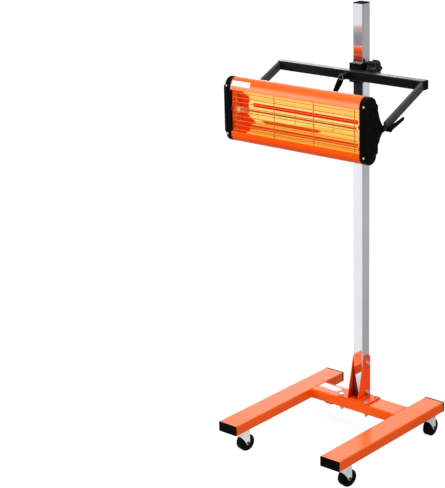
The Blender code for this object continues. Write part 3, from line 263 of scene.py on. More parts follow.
def coated_material(name, colour, rough, grain, grain_height, spread, rounding=0.0008,
                    metallic=0.0, specular=0.5, tint=(1, 1, 1, 1), edge_wear_and_highlight=None, edge_wear_and_highlight_share=0.5,
                    rough_spread=0.08, stretch=(1, 1, 1), dust=0.0, shade=None):
    """A finish with clouds of tone, fine grain, rounded edges with patches of a colour along them if
    one is given, and a darker painted shade in deep corners if one is given. The edge colour is wear
    on most finishes, and wear raised to a painted highlight on the moulded black plastic and the
    knob. The grain is a noise scale, its height is in metres, and the spread is the share by which
    the tone varies."""
    material, graph = new_graph(name)
    cloud = graph.noise(CLOUD_SCALE, detail=4.0)
    speck = graph.noise(grain, detail=2.0, stretch=stretch)
    tone = graph.mix(graph.span(cloud, *CLOUD_RANGE), scaled(colour, 1 - spread), scaled(colour, 1 + spread))
    specks = graph.times(graph.span(speck, *SPECK_RANGE), spread)
    tone = graph.mix(specks, tone, scaled(colour, 1 - 3 * spread))
    # Edge patches: wear, and on the black plastic and the knob a painted highlight
    if edge_wear_and_highlight is not None:
        wear_and_highlight_mask = graph.wear_and_highlight_edges(rounding * EDGE_PATCH_ROUNDING)
        tone = graph.mix(graph.times(wear_and_highlight_mask, edge_wear_and_highlight_share), tone, edge_wear_and_highlight)
    if dust:
        upward = graph.add("SeparateXYZ", {0: graph.add("NewGeometry").outputs["Normal"]}).outputs["Z"]
        settled = graph.times(graph.span(upward, *DUSTY_SLOPE), graph.span(cloud, *SPECK_RANGE))
        tone = graph.mix(graph.times(settled, dust), tone, DUST)
    # Painted shade in deep corners
    if shade is not None:
        tone = graph.mix(graph.corners(), tone, shade)
    smudges = graph.noise(SMUDGE_SCALE, stretch=stretch)
    glossiest = max(LEAST_ROUGHNESS, rough - rough_spread)
    graph.surface(graph.add("BsdfPrincipled", {
        "Base Color": tone, "Metallic": metallic,
        "Roughness": graph.span(smudges, 0.0, 1.0, glossiest, rough + rough_spread),
        "Normal": graph.bumped(speck, GRAIN_STRENGTH, grain_height, graph.rounded(rounding)),
        "Specular IOR Level": specular, "Specular Tint": tint,
    }))
    return material


# Looks of the record's material slots; those of the glowing slots follow further down
LOOKS = {
    "orange_paint": coated_material(
        "orange_powder_coat", linear(253, 91, 7), rough=0.2, grain=900.0, grain_height=0.00006,
        spread=0.04, specular=0.11, edge_wear_and_highlight=RUBBED_ORANGE, dust=0.01),
    "black_paint": coated_material(
        "black_powder_coat", linear(15, 15, 17), rough=0.3, grain=1100.0, grain_height=0.00008,
        spread=0.12, specular=0.15, edge_wear_and_highlight=linear(70, 70, 72), dust=0.01),
    # Moulded black plastic: its lighter edges are wear raised to a painted highlight
    "black_plastic": coated_material(
        "moulded_black_plastic", linear(4, 4, 5), rough=0.46, grain=1500.0, grain_height=0.00005,
        spread=0.1, specular=0.03, edge_wear_and_highlight=linear(70, 70, 72), edge_wear_and_highlight_share=0.7, rounding=0.0006),
    "wheel_rubber": coated_material(
        "black_wheel", linear(4, 4, 5), rough=0.5, grain=500.0, grain_height=0.0001,
        spread=0.15, specular=0.04, rounding=0.001, dust=0.005),
    # The chrome tube gets painted shade in deep corners, darkest between the bracket's cheeks
    "mast_chrome": coated_material(
        "chromed_tube", linear(226, 226, 230), rough=0.035, grain=700.0, grain_height=0.000002,
        spread=0.02, metallic=1.0, tint=(0.5, 0.5, 0.52, 1), rounding=0.0006, rough_spread=0.01,
        stretch=(1, 1, 0.02), shade=linear(128, 124, 120)),
    "zinc_plate": coated_material(
        "zinc_plated_steel", linear(205, 203, 198), rough=0.3, grain=800.0, grain_height=0.00002,
        spread=0.06, metallic=1.0, rounding=0.0004, edge_wear_and_highlight=linear(176, 170, 162), edge_wear_and_highlight_share=0.3),
    "grille_wire": coated_material(
        "heated_steel_wire", linear(204, 106, 36), rough=0.4, grain=1200.0, grain_height=0.00001,
        spread=0.06, metallic=0.4, rounding=0.0002),
    "ceramic": coated_material(
        "glazed_ceramic", linear(248, 206, 150), rough=0.3, grain=600.0, grain_height=0.00003,
        spread=0.03, rounding=0.0006),
}

# Looks of the nodes whose names start so, in place of their slot's; the last that fits is used
OWN_LOOKS = {
    # The arms: a lighter black than the black paint, a painted sheen, with wear along the edges
    "yoke_arm": coated_material(
        "black_bar_painted_sheen_and_wear", linear(44, 44, 46), rough=0.4, grain=1000.0, grain_height=0.0001,
        spread=0.14, specular=0.3, edge_wear_and_highlight=linear(96, 96, 98), edge_wear_and_highlight_share=0.6, dust=0.02),
    "caster_fork": coated_material(
        "bright_caster_sheet", linear(248, 248, 250), rough=0.3, grain=800.0, grain_height=0.00002,
        spread=0.04, metallic=0.45, rounding=0.0005, edge_wear_and_highlight=linear(200, 198, 194), edge_wear_and_highlight_share=0.3),
    "caster_axle": coated_material(
        "dark_rivet", linear(52, 52, 54), rough=0.4, grain=900.0, grain_height=0.00002,
        spread=0.1, specular=0.3, rounding=0.0004, edge_wear_and_highlight=linear(120, 120, 122)),
    "collar": coated_material(
        "dark_cast_collar", linear(7, 7, 8), rough=0.34, grain=900.0, grain_height=0.0001,
        spread=0.12, specular=0.07, edge_wear_and_highlight=linear(60, 60, 62)),
    # The knob: light grey along its edges, a painted highlight
    "collar_knob": coated_material(
        "black_knob_painted_edge_highlight", linear(6, 6, 7), rough=0.3, grain=1300.0, grain_height=0.00006,
        spread=0.12, specular=0.09, edge_wear_and_highlight=linear(170, 170, 172), edge_wear_and_highlight_share=0.9, rounding=0.0014),
    "mast_plug": coated_material(
        "matte_black_plug", linear(8, 8, 9), rough=0.5, grain=900.0, grain_height=0.00005,
        spread=0.12, specular=0.001, edge_wear_and_highlight=linear(44, 44, 46)),
    # The bracket gets painted shade in its inner corners
    "mast_bracket": coated_material(
        "orange_bracket_coat", linear(250, 78, 4), rough=0.24, grain=900.0, grain_height=0.00006,
        spread=0.05, specular=0.11, edge_wear_and_highlight=RUBBED_ORANGE, shade=linear(150, 16, 4)),
}
# A painted highlight: the light grey of the lever hub's ring
HUB_RIM_HIGHLIGHT_LOOK = coated_material(
    "hub_rim_painted_highlight", linear(128, 128, 130), rough=0.4, grain=900.0, grain_height=0.00002,
    spread=0.1, specular=0.3, rounding=0.0002)
PLATE_LOOK = coated_material(
    "bare_white_plate", linear(236, 235, 233), rough=0.35, grain=700.0, grain_height=0.00001,
    spread=0.02, rounding=0.0001)


# The head's own paint with a painted highlight, with heights and depths from the housing's middle

HIGHLIGHT_BAND_FRONT = (-0.010, -0.020)
HIGHLIGHT_BAND_BOTTOM = (0.060, 0.064)
HIGHLIGHT_BAND_TOP = (0.078, 0.092)
GLOSS_HEIGHTS = (-0.03, 0.085)
GLOSS_LEVELS = (0.05, 0.3)


def housing_material():
    """The head's orange coat: glossier toward the top, with a painted highlight in a paler band just above
    the hot window.
    """
    material, graph = new_graph("orange_housing_coat")
    _, y, z = graph.place_from(HOUSING_MIDDLE)
    cloud = graph.noise(CLOUD_SCALE, detail=4.0, stretch=(0.4, 1, 1))
    speck = graph.noise(900.0, detail=2.0)
    tone = graph.mix(graph.span(cloud, *CLOUD_RANGE), linear(248, 78, 2), linear(255, 86, 6))
    tone = graph.mix(graph.times(graph.span(speck, *SPECK_RANGE), 0.06), tone, linear(226, 62, 0))
    # Painted highlight: a paler band just above the window, on the front only
    pale = graph.times(graph.span(z, *HIGHLIGHT_BAND_TOP, 1.0, 0.0), graph.span(z, *HIGHLIGHT_BAND_BOTTOM))
    uneven = graph.span(graph.noise(16.0, stretch=(0.3, 1, 1)), *CLOUD_RANGE, 0.8, 1.0)
    pale = graph.times(graph.times(pale, graph.span(y, *HIGHLIGHT_BAND_FRONT)), uneven)
    tone = graph.mix(graph.times(pale, 0.9), tone, linear(252, 150, 98))
    tone = graph.mix(graph.times(graph.wear_and_highlight_edges(0.0012), 0.4), tone, RUBBED_ORANGE)
    smudges = graph.noise(SMUDGE_SCALE, roughness=0.5)
    graph.surface(graph.add("BsdfPrincipled", {
        "Base Color": tone, "Roughness": graph.span(smudges, 0.0, 1.0, 0.16, 0.3),
        "Normal": graph.bumped(speck, GRAIN_STRENGTH, 0.00006, graph.rounded(0.0008)),
        "Specular IOR Level": graph.span(z, *GLOSS_HEIGHTS, *GLOSS_LEVELS),
    }))
    return material


OWN_LOOKS["lamp_housing"] = housing_material()


# Materials of the glowing pieces, with places along and up the trough from the housing's middle;
# the trough's glow is painted light; a band or streak is its middle, half its width, and its softness

GLOW_GOLD = linear(250, 184, 66)
GLOW_PALE = linear(255, 224, 122)
LOWER_SLANT = (-0.036, -0.044)
UPPER_SLANT = (0.028, 0.036)
STAY_SHADOWS = (-0.187, -0.034, 0.115)
STAY_SHADOW_HALF = 0.0012
STAY_SHADOW_SOFT = 0.0008
SHADOWED_BAND = (0.003, 0.032, 0.003)
STREAK_START = (-0.212, -0.2)
STREAK_WAVE = 0.0022
BROAD_STREAK_HEIGHT = 0.0138
HALO_BAND = (BROAD_STREAK_HEIGHT, 0.0130, 0.0022)
FOLD_STREAK_HEIGHT = -0.0366
FOLD_STREAK_HALF = 0.0048
FOLD_STREAK_TIP = 0.001
FOLD_STREAK_SOFT = 0.0008
FOLD_STREAK_START = (-0.19, -0.165)
FOLD_STREAK_GROWS = (-0.172, -0.15)
FOLD_STREAK_TAPERS = (0.048, 0.074)
RED_END = (-0.196, -0.203)
RED_END_TEAR = 0.05
RED_END_LOW = (-0.026, -0.038)
RED_END_LOW_REACH = 0.026

# The painted red reflections along the whole trough, each with its colour
STREAKS = (
    (BROAD_STREAK_HEIGHT, 0.0068, 0.0010, linear(234, 34, 0)),
    (-0.0532, 0.0040, 0.0008, linear(246, 112, 58)),
    (-0.0508, 0.0019, 0.0007, linear(214, 48, 4)),
    (-0.0566, 0.0016, 0.0006, linear(222, 70, 24)),
    (-0.0622, 0.0010, 0.0006, linear(206, 110, 20)),
)


def glowing(graph, tone, strength, base, roughness):
    """A metal surface with painted glow, its own light in place of the lamp's light on it, and a dim
    reflection of what is near.
    """
    shader = graph.add("BsdfPrincipled", {
        "Base Color": base, "Roughness": roughness, "Metallic": 1.0,
        "Emission Color": tone, "Emission Strength": strength,
    })
    graph.surface(shader)
    return shader


def trough_sheet(graph, x, z):
    """Painted glow of brushed gold, with painted shadows of the stays across the flat back and a plainer
    painted gold on the slants.
    """
    brushed = graph.noise(90.0, roughness=0.65, stretch=(0.03, 1, 1))
    tone = graph.mix(graph.span(brushed, 0.35, 0.65), GLOW_GOLD, GLOW_PALE)
    tone = graph.mix(graph.span(z, *LOWER_SLANT), tone, linear(252, 172, 62))
    shadows = 0.0
    for where in STAY_SHADOWS:
        shadows = graph.plus(shadows, graph.band(x, where, STAY_SHADOW_HALF, STAY_SHADOW_SOFT))
    shadowed = graph.times(shadows, graph.band(z, *SHADOWED_BAND))
    tone = graph.mix(graph.times(shadowed, 0.75), tone, linear(150, 104, 20))
    return graph.mix(graph.span(z, *UPPER_SLANT), tone, linear(252, 194, 96))


def trough_streaks(graph, tone, x, z):
    """Painted reflections: red lines that run along the trough, a little wavy, the broad one with a pale
    halo.
    """
    ripple = graph.minus(graph.noise(34.0, stretch=(0.1, 1, 1)), 0.5)
    level = graph.plus(z, graph.times(ripple, STREAK_WAVE))
    halo = graph.times(graph.band(level, *HALO_BAND), 0.75)
    tone = graph.mix(halo, tone, linear(255, 228, 146))
    started = graph.span(x, *STREAK_START)
    for height, half, soft, colour in STREAKS:
        tone = graph.mix(graph.times(graph.band(level, height, half, soft), started), tone, colour)
    grown = graph.span(x, *FOLD_STREAK_GROWS, FOLD_STREAK_TIP, FOLD_STREAK_HALF)
    tapered = graph.span(x, *FOLD_STREAK_TAPERS, FOLD_STREAK_HALF, 0.0)
    half = graph.math("MINIMUM", grown, tapered)
    fold = graph.band(level, FOLD_STREAK_HEIGHT, half, FOLD_STREAK_SOFT)
    started = graph.span(x, *FOLD_STREAK_START)
    return graph.mix(graph.times(fold, started), tone, linear(222, 70, 4))


def trough_red_end(graph, tone, x, z):
    """Painted red light over the trough's left end, with a ragged edge that reaches further in low down."""
    torn = graph.times(graph.noise(75.0, roughness=0.7, stretch=(0.6, 1, 1)), RED_END_TEAR)
    low_reach = graph.span(z, *RED_END_LOW, 0.0, RED_END_LOW_REACH)
    ragged = graph.minus(graph.plus(x, torn), low_reach)
    return graph.mix(graph.span(ragged, *RED_END), tone, linear(228, 48, 4))


def reflector_material():
    """Polished sheet in the tube's light, its glow painted: gold, streaked with painted red reflections
    along it, with a painted red left end.
    """
    material, graph = new_graph("glowing_polished_sheet")
    x, _, z = graph.place_from(HOUSING_MIDDLE)
    tone = trough_sheet(graph, x, z)
    tone = trough_streaks(graph, tone, x, z)
    tone = trough_red_end(graph, tone, x, z)
    shader = glowing(graph, tone, strength=0.98, base=linear(62, 34, 12), roughness=0.2)
    waves = graph.noise(26.0, detail=2.0, roughness=0.5, stretch=(0.12, 1, 1))
    graph.set(shader, "Normal", graph.bumped(waves, 0.6, 0.0006))
    return material


def end_plate_material():
    """The trough's left end, deep in painted red light."""
    material, graph = new_graph("glowing_end_plate")
    patch = graph.noise(70.0)
    tone = graph.mix(graph.span(patch, 0.38, 0.66), linear(196, 26, 0), linear(240, 62, 6))
    glowing(graph, tone, strength=0.9, base=linear(90, 40, 20), roughness=0.35)
    return material


def quartz_material():
    """Clear tube, lit from inside, thin enough to see the coil through it."""
    material, graph = new_graph("lit_quartz")
    cloud = graph.noise(40.0, stretch=(0.15, 1, 1))
    glow = graph.mix(graph.span(cloud, *CLOUD_RANGE), linear(255, 214, 116), linear(255, 232, 150))
    graph.surface(graph.add("BsdfPrincipled", {
        "Base Color": linear(120, 84, 36), "Roughness": 0.25, "Specular IOR Level": 0.1,
        "Alpha": 0.06, "Emission Color": glow, "Emission Strength": 0.7,
    }))
    return material


def filament_material():
    """Red-hot wire, a little uneven along its length."""
    material, graph = new_graph("hot_filament")
    heat = graph.noise(90.0, stretch=(0.3, 1, 1))
    glow = graph.mix(graph.span(heat, *CLOUD_RANGE), linear(184, 24, 0), linear(208, 36, 0))
    graph.surface(graph.add("BsdfPrincipled", {
        "Base Color": linear(40, 10, 2), "Roughness": 0.7, "Specular IOR Level": 0.0,
        "Emission Color": glow, "Emission Strength": 0.75,
    }))
    return material


LOOKS["polished_sheet"] = reflector_material()
LOOKS["quartz_glass"] = quartz_material()
LOOKS["hot_filament"] = filament_material()
END_PLATE_LOOK = end_plate_material()


def dress_nodes():
    """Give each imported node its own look, or else its slot's."""
    for entry in frame["record"]["subparts"]:
        name = entry["node"]
        look = LOOKS[entry["material_slot"]]
        for start, own in OWN_LOOKS.items():
            if name.startswith(start):
                look = own
        nodes[name].data.materials.clear()
        nodes[name].data.materials.append(look)


dress_nodes()


# Shape helpers

SHARP_ANGLE = math.radians(35)


def add_mesh(name, shape, look, body):
    """A new piece from a bmesh, riding on a body."""
    bmesh.ops.recalc_face_normals(shape, faces=shape.faces)
    mesh = bpy.data.meshes.new(name)
    shape.to_mesh(mesh)
    shape.free()
    mesh.shade_smooth()
    mesh.set_sharp_from_angle(angle=SHARP_ANGLE)
    piece = bpy.data.objects.new(name, mesh)
    scene.collection.objects.link(piece)
    mesh.materials.append(look)
    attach(piece, body)


def skin(rings, shape=None, closed=False):
    """Join rings of equal length into a closed body; a closed one runs back to its first ring."""
    shape = shape or bmesh.new()
    layers = [[shape.verts.new(point) for point in ring] for ring in rings]
    following = layers[1:] + layers[:1] if closed else layers[1:]
    for low, high in zip(layers, following):
        for index in range(len(low)):
            after = (index + 1) % len(low)
            shape.faces.new((low[index], low[after], high[after], high[index]))
    if not closed:
        shape.faces.new(layers[0])
        shape.faces.new(layers[-1])
    return shape


def ring_around(centre, axis, radius, count=24):
    """Points of a circle about an axis."""
    axis = Vector(axis).normalized()
    side = axis.orthogonal().normalized()
    other = axis.cross(side)
    points = []
    for index in range(count):
        angle = 2 * math.pi * index / count
        points.append(Vector(centre) + side * radius * math.cos(angle) + other * radius * math.sin(angle))
    return points


def rounded_outline(half_width, half_height, radius, arc_steps=3):
    """Points of a rectangle with round corners about the origin."""
    outline = []
    for side_a, side_b, start in ((1, 1, 0), (-1, 1, 90), (-1, -1, 180), (1, -1, 270)):
        for step in range(arc_steps + 1):
            angle = math.radians(start + 90 * step / arc_steps)
            outline.append((side_a * (half_width - radius) + radius * math.cos(angle),
                            side_b * (half_height - radius) + radius * math.sin(angle)))
    return outline


# A pan head with a recess, as shares of its height and of its radius
SCREW_SECTIONS = ((0.0, 1.0), (0.35, 1.0), (0.7, 0.88), (0.95, 0.6), (1.0, 0.42), (0.5, 0.36), (0.5, 0.05))


def screw_head(shape, place, axis, radius, height):
    axis = Vector(axis)
    place = Vector(place)
    skin([ring_around(place + axis * height * up, axis, radius * out) for up, out in SCREW_SECTIONS], shape)


# Front clamp lever

HUB_RING_OUTER = 0.0092
HUB_RING_INNER = 0.0075
HUB_RING_CHAMFER = 0.0002
HUB_RING_PROUD = 0.0002
HUB_RING_SUNK = 0.0004
HUB_RING_POINTS = 32


def build_lever_ring():
    """A light grey ring on the front clamp lever's hub, a painted highlight along its rim."""
    bolt_low, bolt_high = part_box("swivel_bolt")
    x, z = (bolt_low.x + bolt_high.x) / 2, (bolt_low.z + bolt_high.z) / 2
    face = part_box("swivel_clamp_lever")[0].y
    sections = (
        (HUB_RING_SUNK, HUB_RING_OUTER),
        (-HUB_RING_PROUD, HUB_RING_OUTER - HUB_RING_CHAMFER),
        (-HUB_RING_PROUD, HUB_RING_INNER + HUB_RING_CHAMFER),
        (HUB_RING_SUNK, HUB_RING_INNER),
    )
    rings = [ring_around((x, face + back, z), (0, 1, 0), radius, HUB_RING_POINTS)
             for back, radius in sections]
    add_mesh("lever_hub_ring", skin(rings, closed=True), HUB_RIM_HIGHLIGHT_LOOK, "swivel_lever")


# Base

RIM_PROUD = 0.0004
RIM_SUNK = 0.0003
RIM_CORNER = 0.0035
RIM_LENGTH = 0.0050


def build_rear_rims():
    """The rear plugs' thin collars, drawn a little way over the rails' ends."""
    shape = bmesh.new()
    for name in ("left_rail", "right_rail"):
        low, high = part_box(name)
        middle = (low + high) / 2
        half = (high - low) / 2
        outer = rounded_outline(half.x + RIM_PROUD, half.z + RIM_PROUD, RIM_CORNER)
        inner = rounded_outline(half.x - RIM_SUNK, half.z - RIM_SUNK, RIM_CORNER)
        start = high.y - RIM_LENGTH
        sections = ((outer, start), (outer, high.y), (inner, high.y), (inner, start))
        rings = [[(middle.x + a, y, middle.z + b) for a, b in outline] for outline, y in sections]
        skin(rings, shape, closed=True)
    add_mesh("rear_plug_rims", shape, LOOKS["black_plastic"], "base")


BASE_PLATE_WIDTH = 0.080
BASE_PLATE_DEPTH = 0.029
BASE_PLATE_CORNER = 0.002
BASE_PLATE_PROUD = 0.0003
BASE_PLATE_TURN = math.radians(-5)
BASE_PLATE_LEFT_OF_MIDDLE = 0.1295
BASE_PLATE_BEHIND_MIDDLE = 0.0112


def build_base_plate():
    """A bare white plate on top of the cross member, set down a little askew."""
    low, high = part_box("cross_member")
    middle = (low + high) / 2
    place = Vector((middle.x - BASE_PLATE_LEFT_OF_MIDDLE, middle.y + BASE_PLATE_BEHIND_MIDDLE, 0))
    turn = Matrix.Rotation(BASE_PLATE_TURN, 4, "Z")
    outline = rounded_outline(BASE_PLATE_WIDTH / 2, BASE_PLATE_DEPTH / 2, BASE_PLATE_CORNER)
    points = [turn @ Vector((a, b, 0)) + place for a, b in outline]
    rings = [[(point.x, point.y, high.z + rise) for point in points]
             for rise in (-BASE_PLATE_PROUD, BASE_PLATE_PROUD)]
    add_mesh("base_plate_label", skin(rings), PLATE_LOOK, "base")


BEAD_RADIUS = 0.0016
BEAD_POINTS = 10
BEAD_STEP = 0.0012
BEAD_TIP = 0.35
BEAD_TAPER = 0.003
BEAD_OUT = 0.1
BEAD_INSET = 0.0035
RIPPLE = 0.10
RIPPLE_TURN = 2.1
SLOW_RIPPLE = 0.05
SLOW_RIPPLE_TURN = 0.73


def bead(shape, start, end, out, phase):
    """A weld bead: a rippled rod, sunk by nearly half in the corner that it fills."""
    start, end = Vector(start), Vector(end)
    length = (end - start).length
    axis = (end - start).normalized()
    steps = int(length / BEAD_STEP)
    rings = []
    for step in range(steps + 1):
        share = step / steps
        wave = (1 + RIPPLE * math.sin(step * RIPPLE_TURN + phase)
                + SLOW_RIPPLE * math.sin(step * SLOW_RIPPLE_TURN + phase * 2))
        fullness = min(1.0, BEAD_TIP + min(share, 1 - share) * length / BEAD_TAPER)
        place = start + axis * length * share + Vector(out) * BEAD_RADIUS * BEAD_OUT
        rings.append(ring_around(place, axis, BEAD_RADIUS * wave * fullness, BEAD_POINTS))
    skin(rings, shape)


def build_base_welds():
    """Beads down the four corners where the cross member meets the rails."""
    low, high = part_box("cross_member")
    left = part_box("left_rail")[1].x
    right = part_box("right_rail")[0].x
    corners = ((left, 1, low.y, -1), (left, 1, high.y, 1), (right, -1, low.y, -1), (right, -1, high.y, 1))
    shape = bmesh.new()
    for phase, (x, inward, y, outward) in enumerate(corners, start=1):
        start, end = (x, y, low.z + BEAD_INSET), (x, y, high.z - BEAD_INSET)
        bead(shape, start, end, (inward, outward, 0), phase)
    add_mesh("base_welds", shape, LOOKS["orange_paint"], "base")


# Lamp head

CAP_SCREW_SPAN = 0.0785
CAP_SCREW_OUT = 0.0168
CAP_SCREW_RADIUS = 0.0034
CAP_SCREW_HEIGHT = 0.0016


def build_cap_screws():
    """Two screws in the front of each end cap."""
    for side, name in ((1, "right"), (-1, "left")):
        shape = bmesh.new()
        x = HOUSING_MIDDLE.x + side * (HOUSING_HALF_LENGTH + CAP_SCREW_OUT)
        for offset in (-CAP_SCREW_SPAN, CAP_SCREW_SPAN):
            place = (x, HOUSING_LOW.y, HOUSING_MIDDLE.z + offset)
            screw_head(shape, place, (0, -1, 0), CAP_SCREW_RADIUS, CAP_SCREW_HEIGHT)
        add_mesh("cap_screws_" + name, shape, LOOKS["zinc_plate"], "lamp_head")


COVER_END_GAP = 0.012
COVER_HALF_HEIGHT = 0.0625
COVER_THICKNESS = 0.0007
COVER_CORNER = 0.004
COVER_ARC_STEPS = 4
COVER_SCREW_END_GAP = 0.012
COVER_SCREW_EDGE_GAP = 0.009
COVER_SCREW_RADIUS = 0.003
COVER_SCREW_HEIGHT = 0.0014

# The cover's edge, as shares of its thickness and of its outline
COVER_SECTIONS = ((0.0, 1.0), (0.7, 1.0), (1.0, 0.998))


def build_back_cover():
    """A thin black cover on the housing's flat back, held by six screws."""
    half_length = HOUSING_HALF_LENGTH - COVER_END_GAP
    outline = rounded_outline(half_length, COVER_HALF_HEIGHT, COVER_CORNER, COVER_ARC_STEPS)
    x, back, z = HOUSING_MIDDLE.x, HOUSING_HIGH.y, HOUSING_MIDDLE.z
    rings = [[(x + a * share, back + COVER_THICKNESS * out, z + b * share) for a, b in outline]
             for out, share in COVER_SECTIONS]
    add_mesh("back_cover", skin(rings), LOOKS["black_paint"], "lamp_head")
    across = half_length - COVER_SCREW_END_GAP
    up = COVER_HALF_HEIGHT - COVER_SCREW_EDGE_GAP
    shape = bmesh.new()
    for side in (-1, 0, 1):
        for half in (-1, 1):
            place = (x + side * across, back + COVER_THICKNESS, z + half * up)
            screw_head(shape, place, (0, 1, 0), COVER_SCREW_RADIUS, COVER_SCREW_HEIGHT)
    add_mesh("back_cover_screws", shape, LOOKS["black_paint"], "lamp_head")


LAMP_PLATE_FROM_LEFT = 0.0050
LAMP_PLATE_LENGTH = 0.0735
LAMP_PLATE_LOW_ANGLE = math.radians(9)
LAMP_PLATE_HIGH_ANGLE = math.radians(43)
LAMP_PLATE_PROUD = 0.0004
LAMP_PLATE_STEPS = 10


def build_lamp_plate():
    """A bare white plate that follows the housing's rounded top."""
    x_low = HOUSING_LOW.x + LAMP_PLATE_FROM_LEFT
    z_axis = HOUSING_HIGH.z - HOUSING_ROUND_RADIUS
    arc = LAMP_PLATE_HIGH_ANGLE - LAMP_PLATE_LOW_ANGLE
    outer_radius = HOUSING_ROUND_RADIUS + LAMP_PLATE_PROUD
    inner_radius = HOUSING_ROUND_RADIUS - LAMP_PLATE_PROUD
    rings = []
    for x in (x_low, x_low + LAMP_PLATE_LENGTH):
        outer, inner = [], []
        for step in range(LAMP_PLATE_STEPS + 1):
            angle = LAMP_PLATE_LOW_ANGLE + arc * step / LAMP_PLATE_STEPS
            out, up = math.cos(angle), math.sin(angle)
            for points, radius in ((outer, outer_radius), (inner, inner_radius)):
                points.append((x, HOUSING_MIDDLE.y - radius * out, z_axis + radius * up))
        rings.append(outer + inner[::-1])
    add_mesh("lamp_plate", skin(rings), PLATE_LOOK, "lamp_head")


END_PLATE_BEHIND_WINDOW = 0.0024
END_PLATE_FRONT_GAP = 0.0006
END_PLATE_BACK_GAP = 0.0016
END_PLATE_EDGE_GAP = 0.0020
END_PLATE_SLANT = 0.0355
END_PLATE_INSET = 0.0002
END_PLATE_THICKNESS = 0.0010
HOLDER_OPENING_HALF = 0.0096


def build_reflector_ends():
    """Plates that close the trough's two ends, each with an opening for the tube's holder. The
    outer and the inner outline have the same number of points, so that they join."""
    near = HOUSING_LOW.y + END_PLATE_BEHIND_WINDOW
    front, back = TROUGH_LOW.y + END_PLATE_FRONT_GAP, TROUGH_HIGH.y - END_PLATE_BACK_GAP
    mouth = (TROUGH_HIGH.z - TROUGH_LOW.z) / 2 - END_PLATE_EDGE_GAP
    panel = mouth - END_PLATE_SLANT
    half = HOLDER_OPENING_HALF
    y = TUBE_MIDDLE.y
    outer = [(near, 0), (near, mouth), (front, mouth), (back, panel),
             (back, -panel), (front, -mouth), (near, -mouth), (near, -half)]
    inner = [(y - half, 0), (y - half, half), (y, half), (y + half, half),
             (y + half, -half), (y, -half), (y - half, -half), (y - half, -half / 2)]
    inside, outside = END_PLATE_INSET + END_PLATE_THICKNESS, END_PLATE_INSET
    sections = ((outer, outside), (outer, inside), (inner, inside), (inner, outside))
    ends = (
        (-1, "left", TROUGH_LOW.x, END_PLATE_LOOK),
        (1, "right", TROUGH_HIGH.x, LOOKS["polished_sheet"]),
    )
    for side, name, x, look in ends:
        rings = [[(x - side * deep, along, HOUSING_MIDDLE.z + up) for along, up in outline]
                 for outline, deep in sections]
        add_mesh("reflector_end_" + name, skin(rings, closed=True), look, "lamp_head")


COIL_END_GAP = 0.008
COIL_TURNS = 360
COIL_POINTS = 10
COIL_RADIUS = 0.0021
COIL_WIRE = 0.0006
COIL_RISE = 0.0018


def build_filament_coil():
    """A fine coil that lies a little above the tube's axis."""
    length = TUBE_HIGH.x - TUBE_LOW.x - 2 * COIL_END_GAP
    count = COIL_TURNS * COIL_POINTS
    curve = bpy.data.curves.new("filament_coil", "CURVE")
    curve.dimensions = "3D"
    curve.bevel_depth = COIL_WIRE
    curve.bevel_resolution = 1
    curve.use_fill_caps = True
    spline = curve.splines.new("POLY")
    spline.points.add(count)
    for index in range(count + 1):
        angle = 2 * math.pi * index / COIL_POINTS
        x = TUBE_MIDDLE.x + length * (index / count - 0.5)
        y = TUBE_MIDDLE.y + COIL_RADIUS * math.cos(angle)
        z = TUBE_MIDDLE.z + COIL_RISE + COIL_RADIUS * math.sin(angle)
        spline.points[index].co = (x, y, z, 1)
    coil = bpy.data.objects.new("filament_coil", curve)
    scene.collection.objects.link(coil)
    curve.materials.append(LOOKS["hot_filament"])
    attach(coil, "lamp_head")
    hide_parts("filament")


build_lever_ring()
build_rear_rims()
build_cap_screws()
build_back_cover()
build_lamp_plate()
build_base_plate()
build_reflector_ends()
build_filament_coil()
build_base_welds()


# Stage and lights

WHITE = (1, 1, 1, 1)
FLOOR_REACH = 14.0
FLOOR_DROP = 0.0003
FLOOR_BASE = (0.2, 0.2, 0.2, 1)
FLOOR_GREY = (0.34, 0.33, 0.35, 1)
FLOOR_ROSY = (0.95, 0.4, 0.34, 1)
FLOOR_SHOWN_RANGE = (2.0, 6.0)
FLOOR_SHOWN_LEVELS = (0.87, 0.98)
FLOOR_MIRRORED_LEVELS = (0.22, 0.84)

# Directions along the floor from the object's middle, and how near a heading comes to them
LEFT = (-0.968, 0.25, 0)
FRONT_LEFT = (-0.594, -0.804, 0)
FRONT_LEFT_RANGE = (0.93, 0.97)
BACK_RIGHT = (0.594, 0.804, 0)
BACK_RIGHT_RANGE = (0.9, 0.97)

# Distances from the object's middle
DIM_RANGE = (0.8, 3.0)
DIM_LOSS = 0.5
POOL_BAND = (5.7, 0.6, 0.35)
POOL_GAIN = 0.3
# The grey and the rosy band are painted reflections for the mast
GREY_BAND = (6.9, 0.55, 0.05)
ROSY_BAND = (7.56, 0.1, 0.03)
FAR_RANGE = (7.5, 7.8)
FAR_GAIN = 0.2


def ray_kinds(graph):
    """1 for rays from the camera, straight or through glass, and 1 for reflected rays."""
    path = graph.add("LightPath").outputs
    return graph.math("MAXIMUM", path["Is Camera Ray"], path["Is Transmission Ray"]), path["Is Glossy Ray"]


